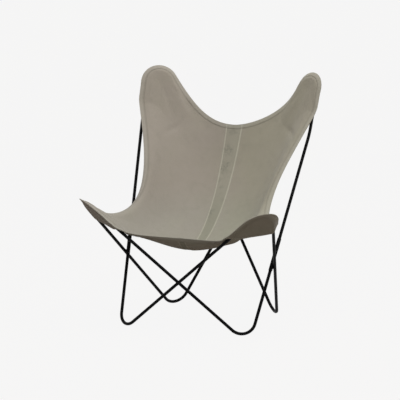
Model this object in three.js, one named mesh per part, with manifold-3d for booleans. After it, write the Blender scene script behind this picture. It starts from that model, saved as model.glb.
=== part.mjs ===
// Butterfly sling chair.
// Two bent steel loops cross at the front, at the back and at both sides, and a canvas
// sling hangs on their four horns by pockets. Millimetres, +Z up, the chair faces -Y,
// and the origin is on the floor under the middle of the bounding box.

import * as THREE from 'three';
import { mergeVertices } from 'three/addons/utils/BufferGeometryUtils.js';
import Module from 'manifold-3d';

const wasm = await Module();
wasm.setup();

// Frame: each loop is one round rod, bent at two horns and two feet
const ROD_DIAMETER = 12;
const FOOT_BEND = 54;
const BACK_HORN_BEND = 51;
const FRONT_HORN_BEND = 56;
const KNUCKLE_BEND = 420;
const FOOT_FLAT = 0.5;
const FIT_GAP = 0.3;

// Where the straight runs of a loop would meet, right-hand side, on the rod's centre line
const BACK_HORN = { x: 361, y: 347, z: 1049 };
const KNUCKLE = { x: 349, y: 207, z: 713 };
const FRONT_HORN = { x: 405, y: -345, z: 542 };
const FRONT_FOOT = { x: 263, y: -212 };
const BACK_FOOT_Y = 224;

// Splice sleeves, which cover the meeting rod ends beside the side crossings
const SLEEVE_DIAMETER = 15;
const SLEEVE_LENGTH = 130;
const SLEEVE_BELOW_CROSSING = 16;
const SLEEVE_CHAMFER = 1;
const ROD_END_GAP = 1;
const WELD_RADIUS = 7.5;

// Sling: cloth, the facing sewn under its edges, and its distance from the pockets
const CLOTH = 2;
const FACING = 1.2;
const FACING_WIDTH = 18;
const FACING_CLEAR = 4;

// Round a horn the cloth lies on the rod and slopes to its edge: how far out the edge is, where
// the slope starts, and how high the edge is at its two ends and its middle, from the rod's centre
const EDGE_BEYOND_ROD = 24;
const SLOPE_BEYOND_ROD = 13;
const BACK_EDGE_HEIGHT = { side: 3, middle: -1, cross: -5 };
const FRONT_EDGE_HEIGHT = { side: 12, middle: -7, cross: -7 };
const SIDE_EDGE_RISE = 10;
const ROD_RIDGE = 60;
const ROD_SLACK = 1;

// Sling outline between the horns: middle of the top and front edges, and the side waist
const TOP_MIDDLE = { y: 317, z: 715 };
const FRONT_MIDDLE = { y: -237, z: 360 };
const WAIST = { x: 272, y: 28, z: 507 };
const WAIST_RUN = { x: -12, y: -104, z: -123 };
const BACK_LEAN = { y: 160, z: 308 };
const SEAT_SAG = { y: -167, z: 215 };

// How far each edge follows its rod, or its own middle, before it curves away
const TOP_ALONG_ROD = 114;
const TOP_ALONG_MIDDLE = 108;
const SIDE_ALONG_BACK_ROD = 152;
const SIDE_STRAIGHT_LENGTH = 40;
const SIDE_ALONG_FRONT_ROD = 35;
const FRONT_STRAIGHT_LENGTH = 90;
const FRONT_ALONG_ROD = 30;
const FRONT_ALONG_MIDDLE = 150;
// How full the sling hangs from side to side: 2 is a parabola, more is flatter in the middle
const FULLNESS = 2.5;

// Centre strip between the two panels, wide at the top and narrow at the front
const STRIP_TOP_WIDTH = 60;
const STRIP_FRONT_WIDTH = 15;

// Pockets, measured along the cloth's edges from the middle of each horn
const BACK_POCKET = { along: 140, side: 110 };
const FRONT_POCKET = { along: 202, side: 140 };

// Facet counts and solver settings
const ROD_SIDES = 12;
const BEND_STEP = THREE.MathUtils.degToRad(12);
const PANEL_COLUMNS = 14;
const PANEL_ROWS = 36;
const COLUMNS_TO_POCKET = 8;
const ROWS_TO_BACK_POCKET = 4;
const ROWS_TO_FRONT_POCKET = 31;
const STRIP_COLUMNS = 2;
const POCKET_ROWS = 10;
const POCKET_COLUMNS = 12;
const SOLVER_PASSES = 40;
const LOOP_PASSES = 4;
const EDGE_SAMPLES = 200;
const PROBE_SHARE = 0.02;
const TIP_SHARE = 0.04;

const ROD_RADIUS = ROD_DIAMETER / 2;
const SLEEVE_RADIUS = SLEEVE_DIAMETER / 2;
const TURN_AXIS = new THREE.Vector3(0, 1, 0);

const BLACK_ROD = { color: 0x1b1b1d, roughness: 0.45, metalness: 0.6 };
const CANVAS = { color: 0x9a9484, roughness: 0.95, metalness: 0 };
const CANVAS_FACING = { color: 0x8c8675, roughness: 0.95, metalness: 0 };

const place = ({ x = 0, y, z }, hand = 1) => new THREE.Vector3(hand * x, y, z);
const toward = (from, to) => to.clone().sub(from).normalize();

const chair = new THREE.Group();

function addPiece(name, geometry, finish) {
  const mesh = new THREE.Mesh(geometry, new THREE.MeshStandardMaterial(finish));
  mesh.name = name;
  chair.add(mesh);
}

// Solids for joining and cutting

function solidOf(geometry) {
  const bare = geometry.clone();
  bare.deleteAttribute('normal');
  bare.deleteAttribute('uv');
  const merged = mergeVertices(bare);
  return new wasm.Manifold(new wasm.Mesh({
    numProp: 3,
    vertProperties: Float32Array.from(merged.attributes.position.array),
    triVerts: Uint32Array.from(merged.index.array),
  }));
}

function geometryOf(solid) {
  const mesh = solid.getMesh();
  const geometry = new THREE.BufferGeometry();
  geometry.setAttribute('position', new THREE.BufferAttribute(mesh.vertProperties, 3));
  geometry.setIndex(new THREE.BufferAttribute(mesh.triVerts, 1));
  geometry.computeVertexNormals();
  return geometry;
}

// Round corner between two straight runs, and the points along it

function bendAt(before, corner, after, radius) {
  const wayBack = toward(corner, before);
  const wayOn = toward(corner, after);
  const half = wayBack.angleTo(wayOn) / 2;
  const inward = wayBack.clone().add(wayOn).normalize();
  const centre = corner.clone().addScaledVector(inward, radius / Math.sin(half));
  const start = corner.clone().addScaledVector(wayBack, radius / Math.tan(half));
  const first = toward(centre, start);
  const normal = wayBack.clone().cross(wayOn).normalize();
  const second = first.clone().cross(normal).normalize();
  return { centre, first, second, normal, radius, turn: Math.PI - 2 * half, wayBack, wayOn };
}

function pointOnBend(bend, angle, radius = bend.radius) {
  return bend.centre.clone()
    .addScaledVector(bend.first, radius * Math.cos(angle))
    .addScaledVector(bend.second, radius * Math.sin(angle));
}

// Loop corners: a foot's corner lies where its bend just reaches the floor

function footCorner(x, y, legOne, legTwo) {
  const corner = new THREE.Vector3(x, y, 0);
  for (let pass = 0; pass < SOLVER_PASSES; pass += 1) {
    const { centre, normal } = bendAt(legOne, corner, legTwo, FOOT_BEND);
    const lowest = centre.z - FOOT_BEND * Math.hypot(normal.x, normal.y);
    corner.z += ROD_RADIUS - FOOT_FLAT - lowest;
  }
  return corner;
}

function crossing(lineOne, lineTwo) {
  const one = toward(...lineOne);
  const two = toward(...lineTwo);
  const normal = one.clone().cross(two).normalize();
  const between = lineTwo[0].clone().sub(lineOne[0]);
  const along = between.clone().cross(two).dot(normal) / one.clone().cross(two).length();
  const gap = between.dot(normal);
  const onOne = lineOne[0].clone().addScaledVector(one, along);
  return { onOne, onTwo: onOne.clone().addScaledVector(normal, gap), normal, gap };
}

// The side whose back horn a loop carries: -1 is the loop that passes in front
const LOOP_SIDES = [-1, 1];

function solveLoops(shift) {
  const loops = {};
  for (const side of LOOP_SIDES) {
    const move = new THREE.Vector3(0, side * shift / 2, 0);
    const backHorn = place(BACK_HORN, side).add(move);
    const knuckle = place(KNUCKLE, side).add(move);
    const frontHorn = place(FRONT_HORN, -side).add(move);
    const frontFoot = footCorner(side * FRONT_FOOT.x, FRONT_FOOT.y + move.y, knuckle, frontHorn);
    loops[side] = { side, backHorn, knuckle, frontHorn, frontFoot, footY: BACK_FOOT_Y + move.y };
  }
  for (const side of LOOP_SIDES) {
    const loop = loops[side];
    const neighbour = loops[-side];
    const wanted = SLEEVE_RADIUS + ROD_RADIUS + FIT_GAP;
    let near = 0;
    let far = FRONT_HORN.x;
    for (let pass = 0; pass < SOLVER_PASSES; pass += 1) {
      const middle = (near + far) / 2;
      loop.backFoot = footCorner(-side * middle, loop.footY, loop.backHorn, loop.frontHorn);
      loop.sideCrossing = crossing(
        [neighbour.knuckle, neighbour.frontFoot],
        [loop.frontHorn, loop.backFoot],
      );
      const outward = loop.sideCrossing.onTwo.clone().sub(loop.sideCrossing.onOne);
      const clear = Math.abs(loop.sideCrossing.gap) * Math.sign(-side * outward.x);
      if (clear < wanted) near = middle;
      else far = middle;
    }
  }
  return loops;
}

// The loops sit one behind the other so that their rods just clear where they cross
function shiftFor(run) {
  return (ROD_DIAMETER + FIT_GAP) * Math.hypot(run.y, run.z) / Math.abs(run.z);
}

let loopShift = ROD_DIAMETER;
let loops = solveLoops(loopShift);
for (let pass = 0; pass < LOOP_PASSES; pass += 1) {
  const { frontFoot, frontHorn, backFoot, backHorn } = loops[1];
  loopShift = Math.max(
    shiftFor(frontHorn.clone().sub(frontFoot)),
    shiftFor(backHorn.clone().sub(backFoot)),
  );
  loops = solveLoops(loopShift);
}

// Rods

class RodLine extends THREE.Curve {
  constructor(stations) {
    super();
    this.stations = stations;
  }

  getPoint(t, target = new THREE.Vector3()) {
    const last = this.stations.length - 1;
    const index = Math.min(Math.floor(t * last), last - 1);
    return target.lerpVectors(this.stations[index], this.stations[index + 1], t * last - index);
  }

  getUtoTmapping(u) {
    return u;
  }
}

function roundRod(stations, radius) {
  const section = new THREE.Shape().absarc(0, 0, radius, 0, 2 * Math.PI);
  return new THREE.ExtrudeGeometry(section, {
    steps: stations.length - 1,
    curveSegments: ROD_SIDES / 2,
    bevelEnabled: false,
    extrudePath: new RodLine(stations),
  });
}

function sleeveMiddle(side) {
  const { knuckle, frontFoot } = loops[side];
  const crossingPoint = loops[-side].sideCrossing.onOne;
  const rise = SLEEVE_LENGTH / 2 - SLEEVE_BELOW_CROSSING;
  return crossingPoint.clone().addScaledVector(toward(frontFoot, knuckle), rise);
}

function loopStations(side) {
  const loop = loops[side];
  const splice = sleeveMiddle(side);
  const up = toward(loop.frontFoot, loop.knuckle).multiplyScalar(ROD_END_GAP / 2);
  const start = splice.clone().add(up);
  const end = splice.clone().sub(up);
  const corners = [
    [loop.knuckle, KNUCKLE_BEND],
    [loop.backHorn, BACK_HORN_BEND],
    [loop.backFoot, FOOT_BEND],
    [loop.frontHorn, FRONT_HORN_BEND],
    [loop.frontFoot, FOOT_BEND],
  ];
  const line = [start, ...corners.map(([corner]) => corner), end];
  const stations = [start];
  corners.forEach(([corner, radius], index) => {
    const bend = bendAt(line[index], corner, line[index + 2], radius);
    const steps = Math.ceil(bend.turn / BEND_STEP) + 1;
    for (let step = 0; step <= steps; step += 1) {
      stations.push(pointOnBend(bend, bend.turn * step / steps));
    }
  });
  stations.push(end);
  return stations;
}

function groundedRod(side) {
  const reach = 2 * Math.max(BACK_HORN.z, FRONT_HORN.x, FRONT_HORN.z);
  const aboveFloor = new THREE.BoxGeometry(reach, reach, reach).translate(0, 0, reach / 2);
  return geometryOf(solidOf(roundRod(loopStations(side), ROD_RADIUS)).intersect(solidOf(aboveFloor)));
}

addPiece('frame_loop_front', groundedRod(-1), BLACK_ROD);
addPiece('frame_loop_rear', groundedRod(1), BLACK_ROD);

// Sleeves

function sleeve() {
  const bore = ROD_RADIUS + FIT_GAP;
  const half = SLEEVE_LENGTH / 2;
  const profile = [
    [bore, -half],
    [SLEEVE_RADIUS - SLEEVE_CHAMFER, -half],
    [SLEEVE_RADIUS, SLEEVE_CHAMFER - half],
    [SLEEVE_RADIUS, half - SLEEVE_CHAMFER],
    [SLEEVE_RADIUS - SLEEVE_CHAMFER, half],
    [bore, half],
    [bore, -half],
  ].map(([radius, height]) => new THREE.Vector2(radius, height));
  return new THREE.LatheGeometry(profile, 2 * ROD_SIDES);
}

function standAlong(geometry, direction, position) {
  const turn = new THREE.Quaternion().setFromUnitVectors(TURN_AXIS, direction);
  return geometry.applyQuaternion(turn).translate(...position.toArray());
}

for (const side of LOOP_SIDES) {
  const { knuckle, frontFoot } = loops[side];
  const name = side < 0 ? 'splice_sleeve_left' : 'splice_sleeve_right';
  addPiece(name, standAlong(sleeve(), toward(frontFoot, knuckle), sleeveMiddle(side)), BLACK_ROD);
}

// Weld beads: a ball of filler round each crossing, less the two rods that it joins

function weldBead(lineOne, radiusOne, lineTwo, radiusTwo) {
  const { onOne, onTwo } = crossing(lineOne, lineTwo);
  const contact = onOne.clone().lerp(onTwo, radiusOne / (radiusOne + radiusTwo));
  const ball = new THREE.SphereGeometry(WELD_RADIUS, 2 * ROD_SIDES, ROD_SIDES);
  let bead = solidOf(ball.translate(...contact.toArray()));
  for (const [line, radius, point] of [[lineOne, radiusOne, onOne], [lineTwo, radiusTwo, onTwo]]) {
    const clear = radius + FIT_GAP;
    const cutter = new THREE.CylinderGeometry(clear, clear, 4 * WELD_RADIUS, 2 * ROD_SIDES);
    bead = bead.subtract(solidOf(standAlong(cutter, toward(...line), point)));
  }
  return geometryOf(bead);
}

const [frontLoop, rearLoop] = LOOP_SIDES.map((side) => loops[side]);

addPiece('weld_front_crossing', weldBead(
  [frontLoop.frontFoot, frontLoop.frontHorn],
  ROD_RADIUS,
  [rearLoop.frontFoot, rearLoop.frontHorn],
  ROD_RADIUS,
), BLACK_ROD);
addPiece('weld_back_crossing', weldBead(
  [frontLoop.backFoot, frontLoop.backHorn],
  ROD_RADIUS,
  [rearLoop.backFoot, rearLoop.backHorn],
  ROD_RADIUS,
), BLACK_ROD);
for (const side of LOOP_SIDES) {
  const name = side < 0 ? 'weld_left_crossing' : 'weld_right_crossing';
  addPiece(name, weldBead(
    [loops[side].knuckle, loops[side].frontFoot],
    SLEEVE_RADIUS,
    [loops[-side].frontHorn, loops[-side].backFoot],
    ROD_RADIUS,
  ), BLACK_ROD);
}

// Sling surface: each half is stretched between its four edge curves

// Edge of the cloth round half a horn, from the middle of the horn's bend to one end of it
class HornArc extends THREE.Curve {
  constructor({ bend, up }, atStart, middleHeight, endHeight) {
    super();
    Object.assign(this, { bend, up, atStart, middleHeight, endHeight });
  }

  getPoint(t, target = new THREE.Vector3()) {
    const angle = this.bend.turn * (this.atStart ? 1 - t : 1 + t) / 2;
    const height = THREE.MathUtils.lerp(this.middleHeight, this.endHeight, t);
    const point = pointOnBend(this.bend, angle, this.bend.radius + EDGE_BEYOND_ROD);
    return target.copy(point).addScaledVector(this.up, height);
  }
}

class Backward extends THREE.Curve {
  constructor(curve) {
    super();
    this.curve = curve;
  }

  getPoint(t, target = new THREE.Vector3()) {
    return this.curve.getPoint(1 - t, target);
  }
}

function edgeOf(...curves) {
  const edge = new THREE.CurvePath();
  curves.forEach((curve) => edge.add(curve));
  return edge;
}

// Where the cloth crosses a rod there is room for a facing between them
const CLOTH_LIFT = ROD_RADIUS + ROD_SLACK + FACING + CLOTH / 2 + 3 * FIT_GAP;
const TOP_POINT = place(TOP_MIDDLE);
const FRONT_POINT = place(FRONT_MIDDLE);
const CENTRE_LINE = new THREE.CubicBezierCurve3(
  TOP_POINT,
  place(BACK_LEAN),
  place(SEAT_SAG),
  FRONT_POINT,
);

function slingHalf(hand) {
  const backLoop = loops[hand];
  const frontLoop = loops[-hand];
  const backBend = bendAt(backLoop.knuckle, backLoop.backHorn, backLoop.backFoot, BACK_HORN_BEND);
  const frontBend = bendAt(frontLoop.frontFoot, frontLoop.frontHorn, frontLoop.backFoot, FRONT_HORN_BEND);
  const backUp = backBend.normal.clone().multiplyScalar(-Math.sign(backBend.normal.y));
  const frontUp = frontBend.normal.clone().multiplyScalar(Math.sign(frontBend.normal.z));
  const back = { bend: backBend, up: backUp };
  const front = { bend: frontBend, up: frontUp };
  const ahead = (point, way, length) => point.clone().addScaledVector(way, length);
  const across = new THREE.Vector3(hand, 0, 0);

  const topArc = new HornArc(back, false, BACK_EDGE_HEIGHT.middle, BACK_EDGE_HEIGHT.cross);
  const topLeave = topArc.getPoint(1);
  const topEdge = edgeOf(new THREE.CubicBezierCurve3(
    TOP_POINT,
    ahead(TOP_POINT, across, TOP_ALONG_MIDDLE),
    ahead(topLeave, backBend.wayOn, TOP_ALONG_ROD),
    topLeave,
  ), new Backward(topArc));

  const frontArc = new HornArc(front, true, FRONT_EDGE_HEIGHT.middle, FRONT_EDGE_HEIGHT.cross);
  const frontLeave = ahead(frontArc.getPoint(1), frontBend.wayBack, FRONT_STRAIGHT_LENGTH);
  const frontEdge = edgeOf(new THREE.CubicBezierCurve3(
    FRONT_POINT,
    ahead(FRONT_POINT, across, FRONT_ALONG_MIDDLE),
    ahead(frontLeave, frontBend.wayBack, FRONT_ALONG_ROD),
    frontLeave,
  ), new THREE.LineCurve3(frontLeave, frontArc.getPoint(1)), new Backward(frontArc));

  const backSideArc = new HornArc(back, true, BACK_EDGE_HEIGHT.middle, BACK_EDGE_HEIGHT.side);
  const frontSideArc = new HornArc(front, false, FRONT_EDGE_HEIGHT.middle, FRONT_EDGE_HEIGHT.side);
  const sideStart = backSideArc.getPoint(1);
  const sideEnd = frontSideArc.getPoint(1);
  const sideLeave = ahead(ahead(sideEnd, frontBend.wayOn, SIDE_STRAIGHT_LENGTH), front.up, SIDE_EDGE_RISE);
  const waist = place(WAIST, hand);
  const run = place(WAIST_RUN, hand);
  const sideEdge = edgeOf(backSideArc, new THREE.CubicBezierCurve3(
    sideStart,
    ahead(sideStart, backBend.wayBack, SIDE_ALONG_BACK_ROD),
    waist.clone().sub(run),
    waist,
  ), new THREE.CubicBezierCurve3(
    waist,
    waist.clone().add(run),
    ahead(sideLeave, toward(sideEnd, sideLeave), SIDE_ALONG_FRONT_ROD),
    sideLeave,
  ), new THREE.LineCurve3(sideLeave, sideEnd), new Backward(frontSideArc));

  return { hand, topEdge, frontEdge, sideEdge, back, front };
}

const HALVES = Object.fromEntries(LOOP_SIDES.map((hand) => [hand, slingHalf(hand)]));

// Distance of a point out from the rod, in the plane of the horn's bend
function beyondRod(bend, flat) {
  const last = pointOnBend(bend, bend.turn).sub(bend.centre).normalize();
  const isRoundBend = flat.dot(bend.wayBack) < 0 && flat.dot(bend.wayOn) < 0;
  return (isRoundBend ? flat.length() : Math.max(flat.dot(bend.first), flat.dot(last))) - bend.radius;
}

// Where the cloth would hang through the rod of a horn, it lies on the rod instead
function restOnRod({ bend, up }, point) {
  const flat = point.clone().sub(bend.centre);
  const height = flat.dot(up);
  const beyond = beyondRod(bend, flat.addScaledVector(up, -height));
  const share = beyond < 0
    ? Math.exp(-((beyond / ROD_RIDGE) ** 2))
    : 1 - THREE.MathUtils.smoothstep(beyond, SLOPE_BEYOND_ROD, EDGE_BEYOND_ROD);
  return point.addScaledVector(up, share * Math.max(0, CLOTH_LIFT - height));
}

// u runs from the middle of the sling to its side, v from the top edge to the front edge
function slingPoint(half, u, v) {
  const { topEdge, frontEdge, sideEdge } = half;
  const flare = u ** FULLNESS;
  const corners = sideEdge.getPoint(0).lerp(sideEdge.getPoint(1), v);
  const middles = TOP_POINT.clone().lerp(FRONT_POINT, v);
  const hung = topEdge.getPoint(u).lerp(frontEdge.getPoint(u), v)
    .add(CENTRE_LINE.getPointAt(v).sub(middles).multiplyScalar(1 - flare))
    .add(sideEdge.getPoint(v).sub(corners).multiplyScalar(flare));
  return restOnRod(half.front, restOnRod(half.back, hung));
}

function slingNormal(half, u, v) {
  const inside = (value) => THREE.MathUtils.clamp(value, 2 * PROBE_SHARE, 1 - 2 * PROBE_SHARE);
  const [uIn, vIn] = [inside(u), inside(v)];
  const alongU = slingPoint(half, uIn + PROBE_SHARE, vIn).sub(slingPoint(half, uIn - PROBE_SHARE, vIn));
  const alongV = slingPoint(half, uIn, vIn + PROBE_SHARE).sub(slingPoint(half, uIn, vIn - PROBE_SHARE));
  const normal = alongV.cross(alongU).multiplyScalar(half.hand).normalize();
  if (u < 2 * PROBE_SHARE) normal.setX(normal.x * u / (2 * PROBE_SHARE)).normalize();
  return normal;
}

// A point at a height above the middle of the cloth
function slingAt(half, u, v, height = 0) {
  const normal = slingNormal(half, u, v);
  return { point: slingPoint(half, u, v).addScaledVector(normal, height), normal };
}

// Closed sheet of an even thickness, from a grid of points on its middle. The quads are
// split one way near the first row and the other way near the last, so that no corner folds
const splitByRow = (rows) => (column, row) => row < rows / 2;

function sheet(columns, rows, thickness, middle, turned = splitByRow(rows)) {
  const vertices = [];
  for (const face of [1, -1]) {
    for (let row = 0; row <= rows; row += 1) {
      for (let column = 0; column <= columns; column += 1) {
        const { point, normal } = middle(column, row);
        vertices.push(...point.addScaledVector(normal, face * thickness / 2).toArray());
      }
    }
  }
  const width = columns + 1;
  const layer = width * (rows + 1);
  const faces = [];
  const quad = (a, b, c, d) => faces.push(a, b, c, a, c, d);
  const under = (corner) => corner + layer;
  for (let row = 0; row < rows; row += 1) {
    for (let column = 0; column < columns; column += 1) {
      const a = row * width + column;
      const ring = [a, a + 1, a + width + 1, a + width];
      if (turned(column, row)) ring.push(ring.shift());
      const [first, second, third, fourth] = ring;
      quad(first, second, third, fourth);
      quad(under(first), under(fourth), under(third), under(second));
    }
  }
  const rim = [];
  for (let column = 0; column < columns; column += 1) rim.push(column);
  for (let row = 0; row < rows; row += 1) rim.push(row * width + columns);
  for (let column = columns; column > 0; column -= 1) rim.push(rows * width + column);
  for (let row = rows; row > 0; row -= 1) rim.push(row * width);
  rim.forEach((corner, index) => {
    const next = rim[(index + 1) % rim.length];
    quad(next, corner, under(corner), under(next));
  });
  const geometry = new THREE.BufferGeometry();
  geometry.setAttribute('position', new THREE.Float32BufferAttribute(vertices, 3));
  geometry.setIndex(faces);
  return facingOut(geometry);
}

function facingOut(geometry) {
  const corners = geometry.attributes.position;
  const index = geometry.index.array;
  const [a, b, c] = [0, 1, 2].map(() => new THREE.Vector3());
  let volume = 0;
  for (let face = 0; face < index.length; face += 3) {
    a.fromBufferAttribute(corners, index[face]);
    b.fromBufferAttribute(corners, index[face + 1]);
    c.fromBufferAttribute(corners, index[face + 2]);
    volume += a.dot(b.cross(c));
  }
  if (volume < 0) geometry.setIndex([...index].reverse());
  geometry.computeVertexNormals();
  return geometry;
}

// Panels and the centre strip between them. The side column and the first and last rows of a
// panel are as wide as the facings, and a column and two rows end where the facings end

const HEM_SHARE = FACING_WIDTH / CENTRE_LINE.getLength();

// Share at a station, on straight runs between the stations whose shares are given
function shareAt(station, knots) {
  const next = knots.findIndex(([knot]) => knot >= station);
  if (next === 0) return knots[0][1];
  const [[start, startShare], [end, endShare]] = [knots[next - 1], knots[next]];
  return THREE.MathUtils.mapLinear(station, start, end, startShare, endShare);
}

function rowShare({ sideEdge }, row) {
  return shareAt(row, [
    [0, 0],
    [1, HEM_SHARE],
    [ROWS_TO_BACK_POCKET, (BACK_POCKET.side + FACING_CLEAR) / sideEdge.getLength()],
    [ROWS_TO_FRONT_POCKET, 1 - (FRONT_POCKET.side + FACING_CLEAR) / sideEdge.getLength()],
    [PANEL_ROWS - 1, 1 - HEM_SHARE],
    [PANEL_ROWS, 1],
  ]);
}

function stripEdge({ topEdge, frontEdge }, v, clearance) {
  const halfWidth = THREE.MathUtils.lerp(STRIP_TOP_WIDTH, STRIP_FRONT_WIDTH, v) / 2;
  return (halfWidth + clearance) / THREE.MathUtils.lerp(topEdge.getLength(), frontEdge.getLength(), v);
}

function columnShare(half, column, v) {
  const probed = slingPoint(half, 1 - PROBE_SHARE, v).distanceTo(slingPoint(half, 1, v));
  const topPocket = (BACK_POCKET.along + FACING_CLEAR) / half.topEdge.getLength();
  const frontPocket = (FRONT_POCKET.along + FACING_CLEAR) / half.frontEdge.getLength();
  return shareAt(column, [
    [0, stripEdge(half, v, FIT_GAP)],
    [COLUMNS_TO_POCKET, 1 - THREE.MathUtils.lerp(topPocket, frontPocket, v)],
    [PANEL_COLUMNS - 1, 1 - FACING_WIDTH * PROBE_SHARE / probed],
    [PANEL_COLUMNS, 1],
  ]);
}

function panel(hand) {
  const half = HALVES[hand];
  return sheet(PANEL_COLUMNS, PANEL_ROWS, CLOTH, (column, row) => {
    const v = rowShare(half, row);
    return slingAt(half, columnShare(half, column, v), v);
  });
}

function centreStrip() {
  return sheet(2 * STRIP_COLUMNS, PANEL_ROWS, CLOTH, (column, row) => {
    const signed = column / STRIP_COLUMNS - 1;
    const half = HALVES[signed < 0 ? -1 : 1];
    const v = rowShare(half, row);
    return slingAt(half, Math.abs(signed) * stripEdge(half, v, 0), v);
  });
}

addPiece('sling_left_panel', panel(-1), CANVAS);
addPiece('sling_right_panel', panel(1), CANVAS);
addPiece('sling_centre_strip', centreStrip(), CANVAS);

// Facings: tapes sewn under the open edges, from pocket to pocket. They have the stations of
// the panels above them, so that they follow the panels' facets

const FACING_DROP = -(CLOTH / 2 + FIT_GAP + FACING / 2);

function crossFacing(firstRow) {
  const middle = COLUMNS_TO_POCKET + 1;
  return sheet(2 * middle, 1, FACING, (column, row) => {
    const signed = column - middle;
    const half = HALVES[signed < 0 ? -1 : 1];
    const v = rowShare(half, firstRow + row);
    const u = signed === 0 ? 0 : columnShare(half, Math.abs(signed) - 1, v);
    return slingAt(half, u, v, FACING_DROP);
  }, (column) => (column < middle) === (firstRow > 0));
}

function sideFacing(hand) {
  const half = HALVES[hand];
  return sheet(1, ROWS_TO_FRONT_POCKET - ROWS_TO_BACK_POCKET, FACING, (column, row) => {
    const v = rowShare(half, ROWS_TO_BACK_POCKET + row);
    return slingAt(half, columnShare(half, PANEL_COLUMNS - 1 + column, v), v, FACING_DROP);
  }, (column, row) => ROWS_TO_BACK_POCKET + row < PANEL_ROWS / 2);
}

addPiece('facing_top', crossFacing(0), CANVAS_FACING);
addPiece('facing_front', crossFacing(PANEL_ROWS - 1), CANVAS_FACING);
addPiece('facing_left', sideFacing(-1), CANVAS_FACING);
addPiece('facing_right', sideFacing(1), CANVAS_FACING);

// Pockets: the cloth behind each horn, sewn on along the edge, which passes under the rods

function pocket(hand, atFront) {
  const half = HALVES[hand];
  const reach = atFront ? FRONT_POCKET : BACK_POCKET;
  const { bend, up } = atFront ? half.front : half.back;
  const crossEdge = atFront ? half.frontEdge : half.topEdge;
  const crossShare = reach.along / crossEdge.getLength();
  const sideShare = reach.side / half.sideEdge.getLength();
  const onCross = (share) => crossEdge.getPoint(1 - share * crossShare);
  const onSide = (share) => half.sideEdge.getPoint(atFront ? 1 - share * sideShare : share * sideShare);
  const shares = Array.from({ length: EDGE_SAMPLES + 1 }, (none, sample) => sample / EDGE_SAMPLES);
  const outline = shares.flatMap((share) => [onCross(share), onSide(share)]);
  const sewn = CLOTH + 3 * FIT_GAP;
  const underRod = ROD_RADIUS + FIT_GAP + CLOTH / 2 + ROD_SLACK;
  return sheet(POCKET_COLUMNS, POCKET_ROWS, CLOTH, (column, row) => {
    const share = THREE.MathUtils.lerp(TIP_SHARE, 1, row / POCKET_ROWS);
    const flat = onCross(share).lerp(onSide(share), column / POCKET_COLUMNS);
    const inset = Math.min(...outline.map((edge) => edge.distanceTo(flat)));
    const height = flat.clone().sub(bend.centre).dot(up);
    const deep = Math.max(sewn, height + underRod);
    const depth = THREE.MathUtils.lerp(sewn, deep, THREE.MathUtils.smoothstep(inset, 0, SLOPE_BEYOND_ROD));
    return { point: flat.addScaledVector(up, -depth), normal: up };
  });
}

addPiece('pocket_back_left', pocket(-1, false), CANVAS);
addPiece('pocket_back_right', pocket(1, false), CANVAS);
addPiece('pocket_front_left', pocket(-1, true), CANVAS);
addPiece('pocket_front_right', pocket(1, true), CANVAS);

// The origin goes under the middle of the bounding box
const middle = new THREE.Box3().setFromObject(chair).getCenter(new THREE.Vector3());
chair.children.forEach(({ geometry }) => geometry.translate(-middle.x, -middle.y, 0));

export default chair;
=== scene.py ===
# %% [markdown]
# # A butterfly sling chair
# Two loops of bent steel rod cross each other and stand on four rounded feet. A canvas sling
# hangs on the four upper bends, the horns, by pockets in its corners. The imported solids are
# loaded first and stay where they are. They give the size, and every piece made here is put
# round them in the same frame, in metres.

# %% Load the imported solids
import math

import bpy
import numpy as np
from mathutils import Matrix, Vector, noise


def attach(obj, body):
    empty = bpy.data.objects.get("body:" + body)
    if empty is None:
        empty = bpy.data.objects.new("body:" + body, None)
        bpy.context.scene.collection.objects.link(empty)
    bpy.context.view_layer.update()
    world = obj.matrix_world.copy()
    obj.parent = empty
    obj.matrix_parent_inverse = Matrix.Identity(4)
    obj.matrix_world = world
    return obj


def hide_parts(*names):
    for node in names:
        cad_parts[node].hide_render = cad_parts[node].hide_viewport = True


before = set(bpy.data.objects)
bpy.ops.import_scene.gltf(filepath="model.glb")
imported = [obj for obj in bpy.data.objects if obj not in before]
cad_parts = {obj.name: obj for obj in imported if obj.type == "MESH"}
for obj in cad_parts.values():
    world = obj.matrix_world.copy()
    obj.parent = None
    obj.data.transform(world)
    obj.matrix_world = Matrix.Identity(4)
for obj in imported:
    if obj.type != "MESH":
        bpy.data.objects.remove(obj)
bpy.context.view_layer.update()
print("solids:", sorted(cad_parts))

# %% [markdown]
# ## Camera
# The photo is taken from in front of the chair and to the right, a little above the seat and
# from far away, so the rods hardly taper. A camera can be placed by eye, but thin rods show every
# wrong degree. So its place, its turn and its long lens were solved from the straight rods in the
# photo. The frame is square.

# %% Camera
CAMERA_PLACE = Vector((3.0893, -7.6594, 1.9467))
CAMERA_RIGHT = Vector((0.9266, 0.3761, 0.0005))
CAMERA_UP = Vector((-0.0669, 0.1633, 0.9843))
CAMERA_BACK = Vector((0.3701, -0.9121, 0.1765))
CAMERA_LENS = 196.8
CAMERA_REACH = 60

bpy.ops.object.camera_add()
camera = bpy.context.object
camera.data.lens = CAMERA_LENS
camera.data.clip_end = CAMERA_REACH
camera.matrix_world = Matrix.Translation(CAMERA_PLACE) @ Matrix(
    (CAMERA_RIGHT, CAMERA_UP, CAMERA_BACK)
).transposed().to_4x4()
bpy.context.scene.camera = camera
print("camera at", tuple(round(value, 3) for value in camera.location))

# %% [markdown]
# ## Shader maths
# A finish is a small network of nodes. It can be wired node by node, but then nobody sees the
# sum that it stands for. So a `Wire` wraps a node's output and turns `a * b + 1` into Math nodes.
# Colours go through Mix nodes, because a Math node would turn them grey.

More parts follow.
